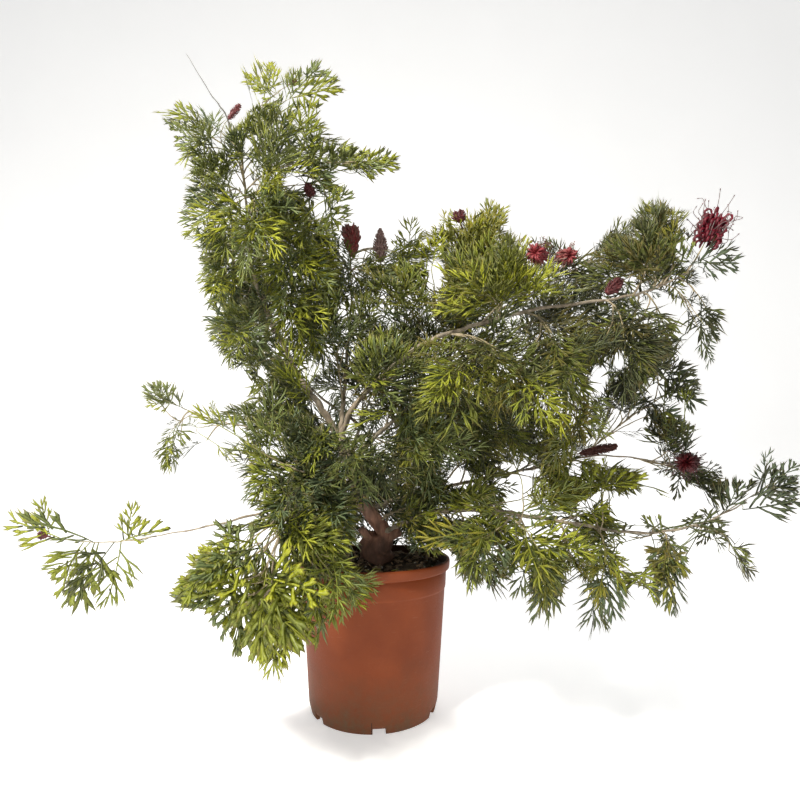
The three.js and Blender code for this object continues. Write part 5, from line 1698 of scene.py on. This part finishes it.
# Camera, lights and floor, in metres
CAMERA_TURN = (math.pi / 2 + 0.082, 0, -0.044)
SENSOR_WIDTH = 36
FOCAL_LENGTH = SENSOR_WIDTH * 577.1 / 800
FLOOR_HALF_WIDTH = 5.0
FLOOR_LINE = [
    (-3.0, 0.0), (1.6, 0.0), (2.0, 0.04), (2.35, 0.16), (2.6, 0.4), (2.75, 0.8), (2.8, 1.4), (2.8, 5.0)
]
FLOOR_DROP = 0.0003
# Name, place, target, size, power and colour
LIGHTS = [
    ("key", (-1.0, -1.2, 1.8), (0, 0, 0.35), 0.3, 68, (1, 0.97, 0.9)),
    ("fill", (0.5, -1.7, 0.35), (0, 0, 0.35), 0.8, 5, (1, 1, 1)),
    ("back", (0.3, 1.5, 2.2), (0, 0.2, 0.4), 1.6, 22, (1, 1, 1)),
]
SKY_STRENGTH = 0.13
FLOOR_GLOW = 0.5


def pale_material():
    p = Paint("pale_floor")
    p.set("Emission Color", (1.0, 1.0, 1.0))
    p.set("Emission Strength", FLOOR_GLOW)
    return p.finish(p.ramp(p.noise(3, 2), (0.3, (0.86, 0.86, 0.855)), (0.7, (0.89, 0.89, 0.885))), 0.9)


# A floor that curves up behind the plant
def build_stage():
    sides = (-FLOOR_HALF_WIDTH, FLOOR_HALF_WIDTH)
    points = [[x, y, z - FLOOR_DROP] for y, z in FLOOR_LINE for x in sides]
    faces = [[2 * i, 2 * i + 1, 2 * i + 3, 2 * i + 2] for i in range(len(FLOOR_LINE) - 1)]
    mesh = bpy.data.meshes.new("studio_floor")
    mesh.from_pydata(points, [], faces)
    mesh.polygons.foreach_set("use_smooth", [True] * len(faces))
    mesh.materials.append(pale_material())
    add_object("studio_floor", mesh)


def add_light(name, place, target, size, power, colour):
    data = bpy.data.lights.new(name, "AREA")
    data.shape = "DISK"
    data.size = size
    data.energy = power
    data.color = colour
    lamp = add_object(name, data)
    lamp.location = place
    away = Vector(place) - Vector(target)
    lamp.rotation_euler = away.to_track_quat("Z", "Y").to_euler()


def build_camera():
    data = bpy.data.cameras.new("camera")
    data.sensor_width = SENSOR_WIDTH
    data.lens = FOCAL_LENGTH
    data.clip_start = 0.01
    camera = add_object("camera", data)
    camera.location = EYE * MM
    camera.rotation_euler = CAMERA_TURN
    bpy.context.scene.camera = camera


def build_sky():
    world = bpy.data.worlds.new("studio")
    world.use_nodes = True
    sky = world.node_tree.nodes["Background"].inputs
    sky["Color"].default_value = (1, 1, 1, 1)
    sky["Strength"].default_value = SKY_STRENGTH
    bpy.context.scene.world = world
    bpy.context.scene.view_settings.view_transform = "Standard"


build_stage()
build_camera()
build_sky()
for light in LIGHTS:
    add_light(*light)
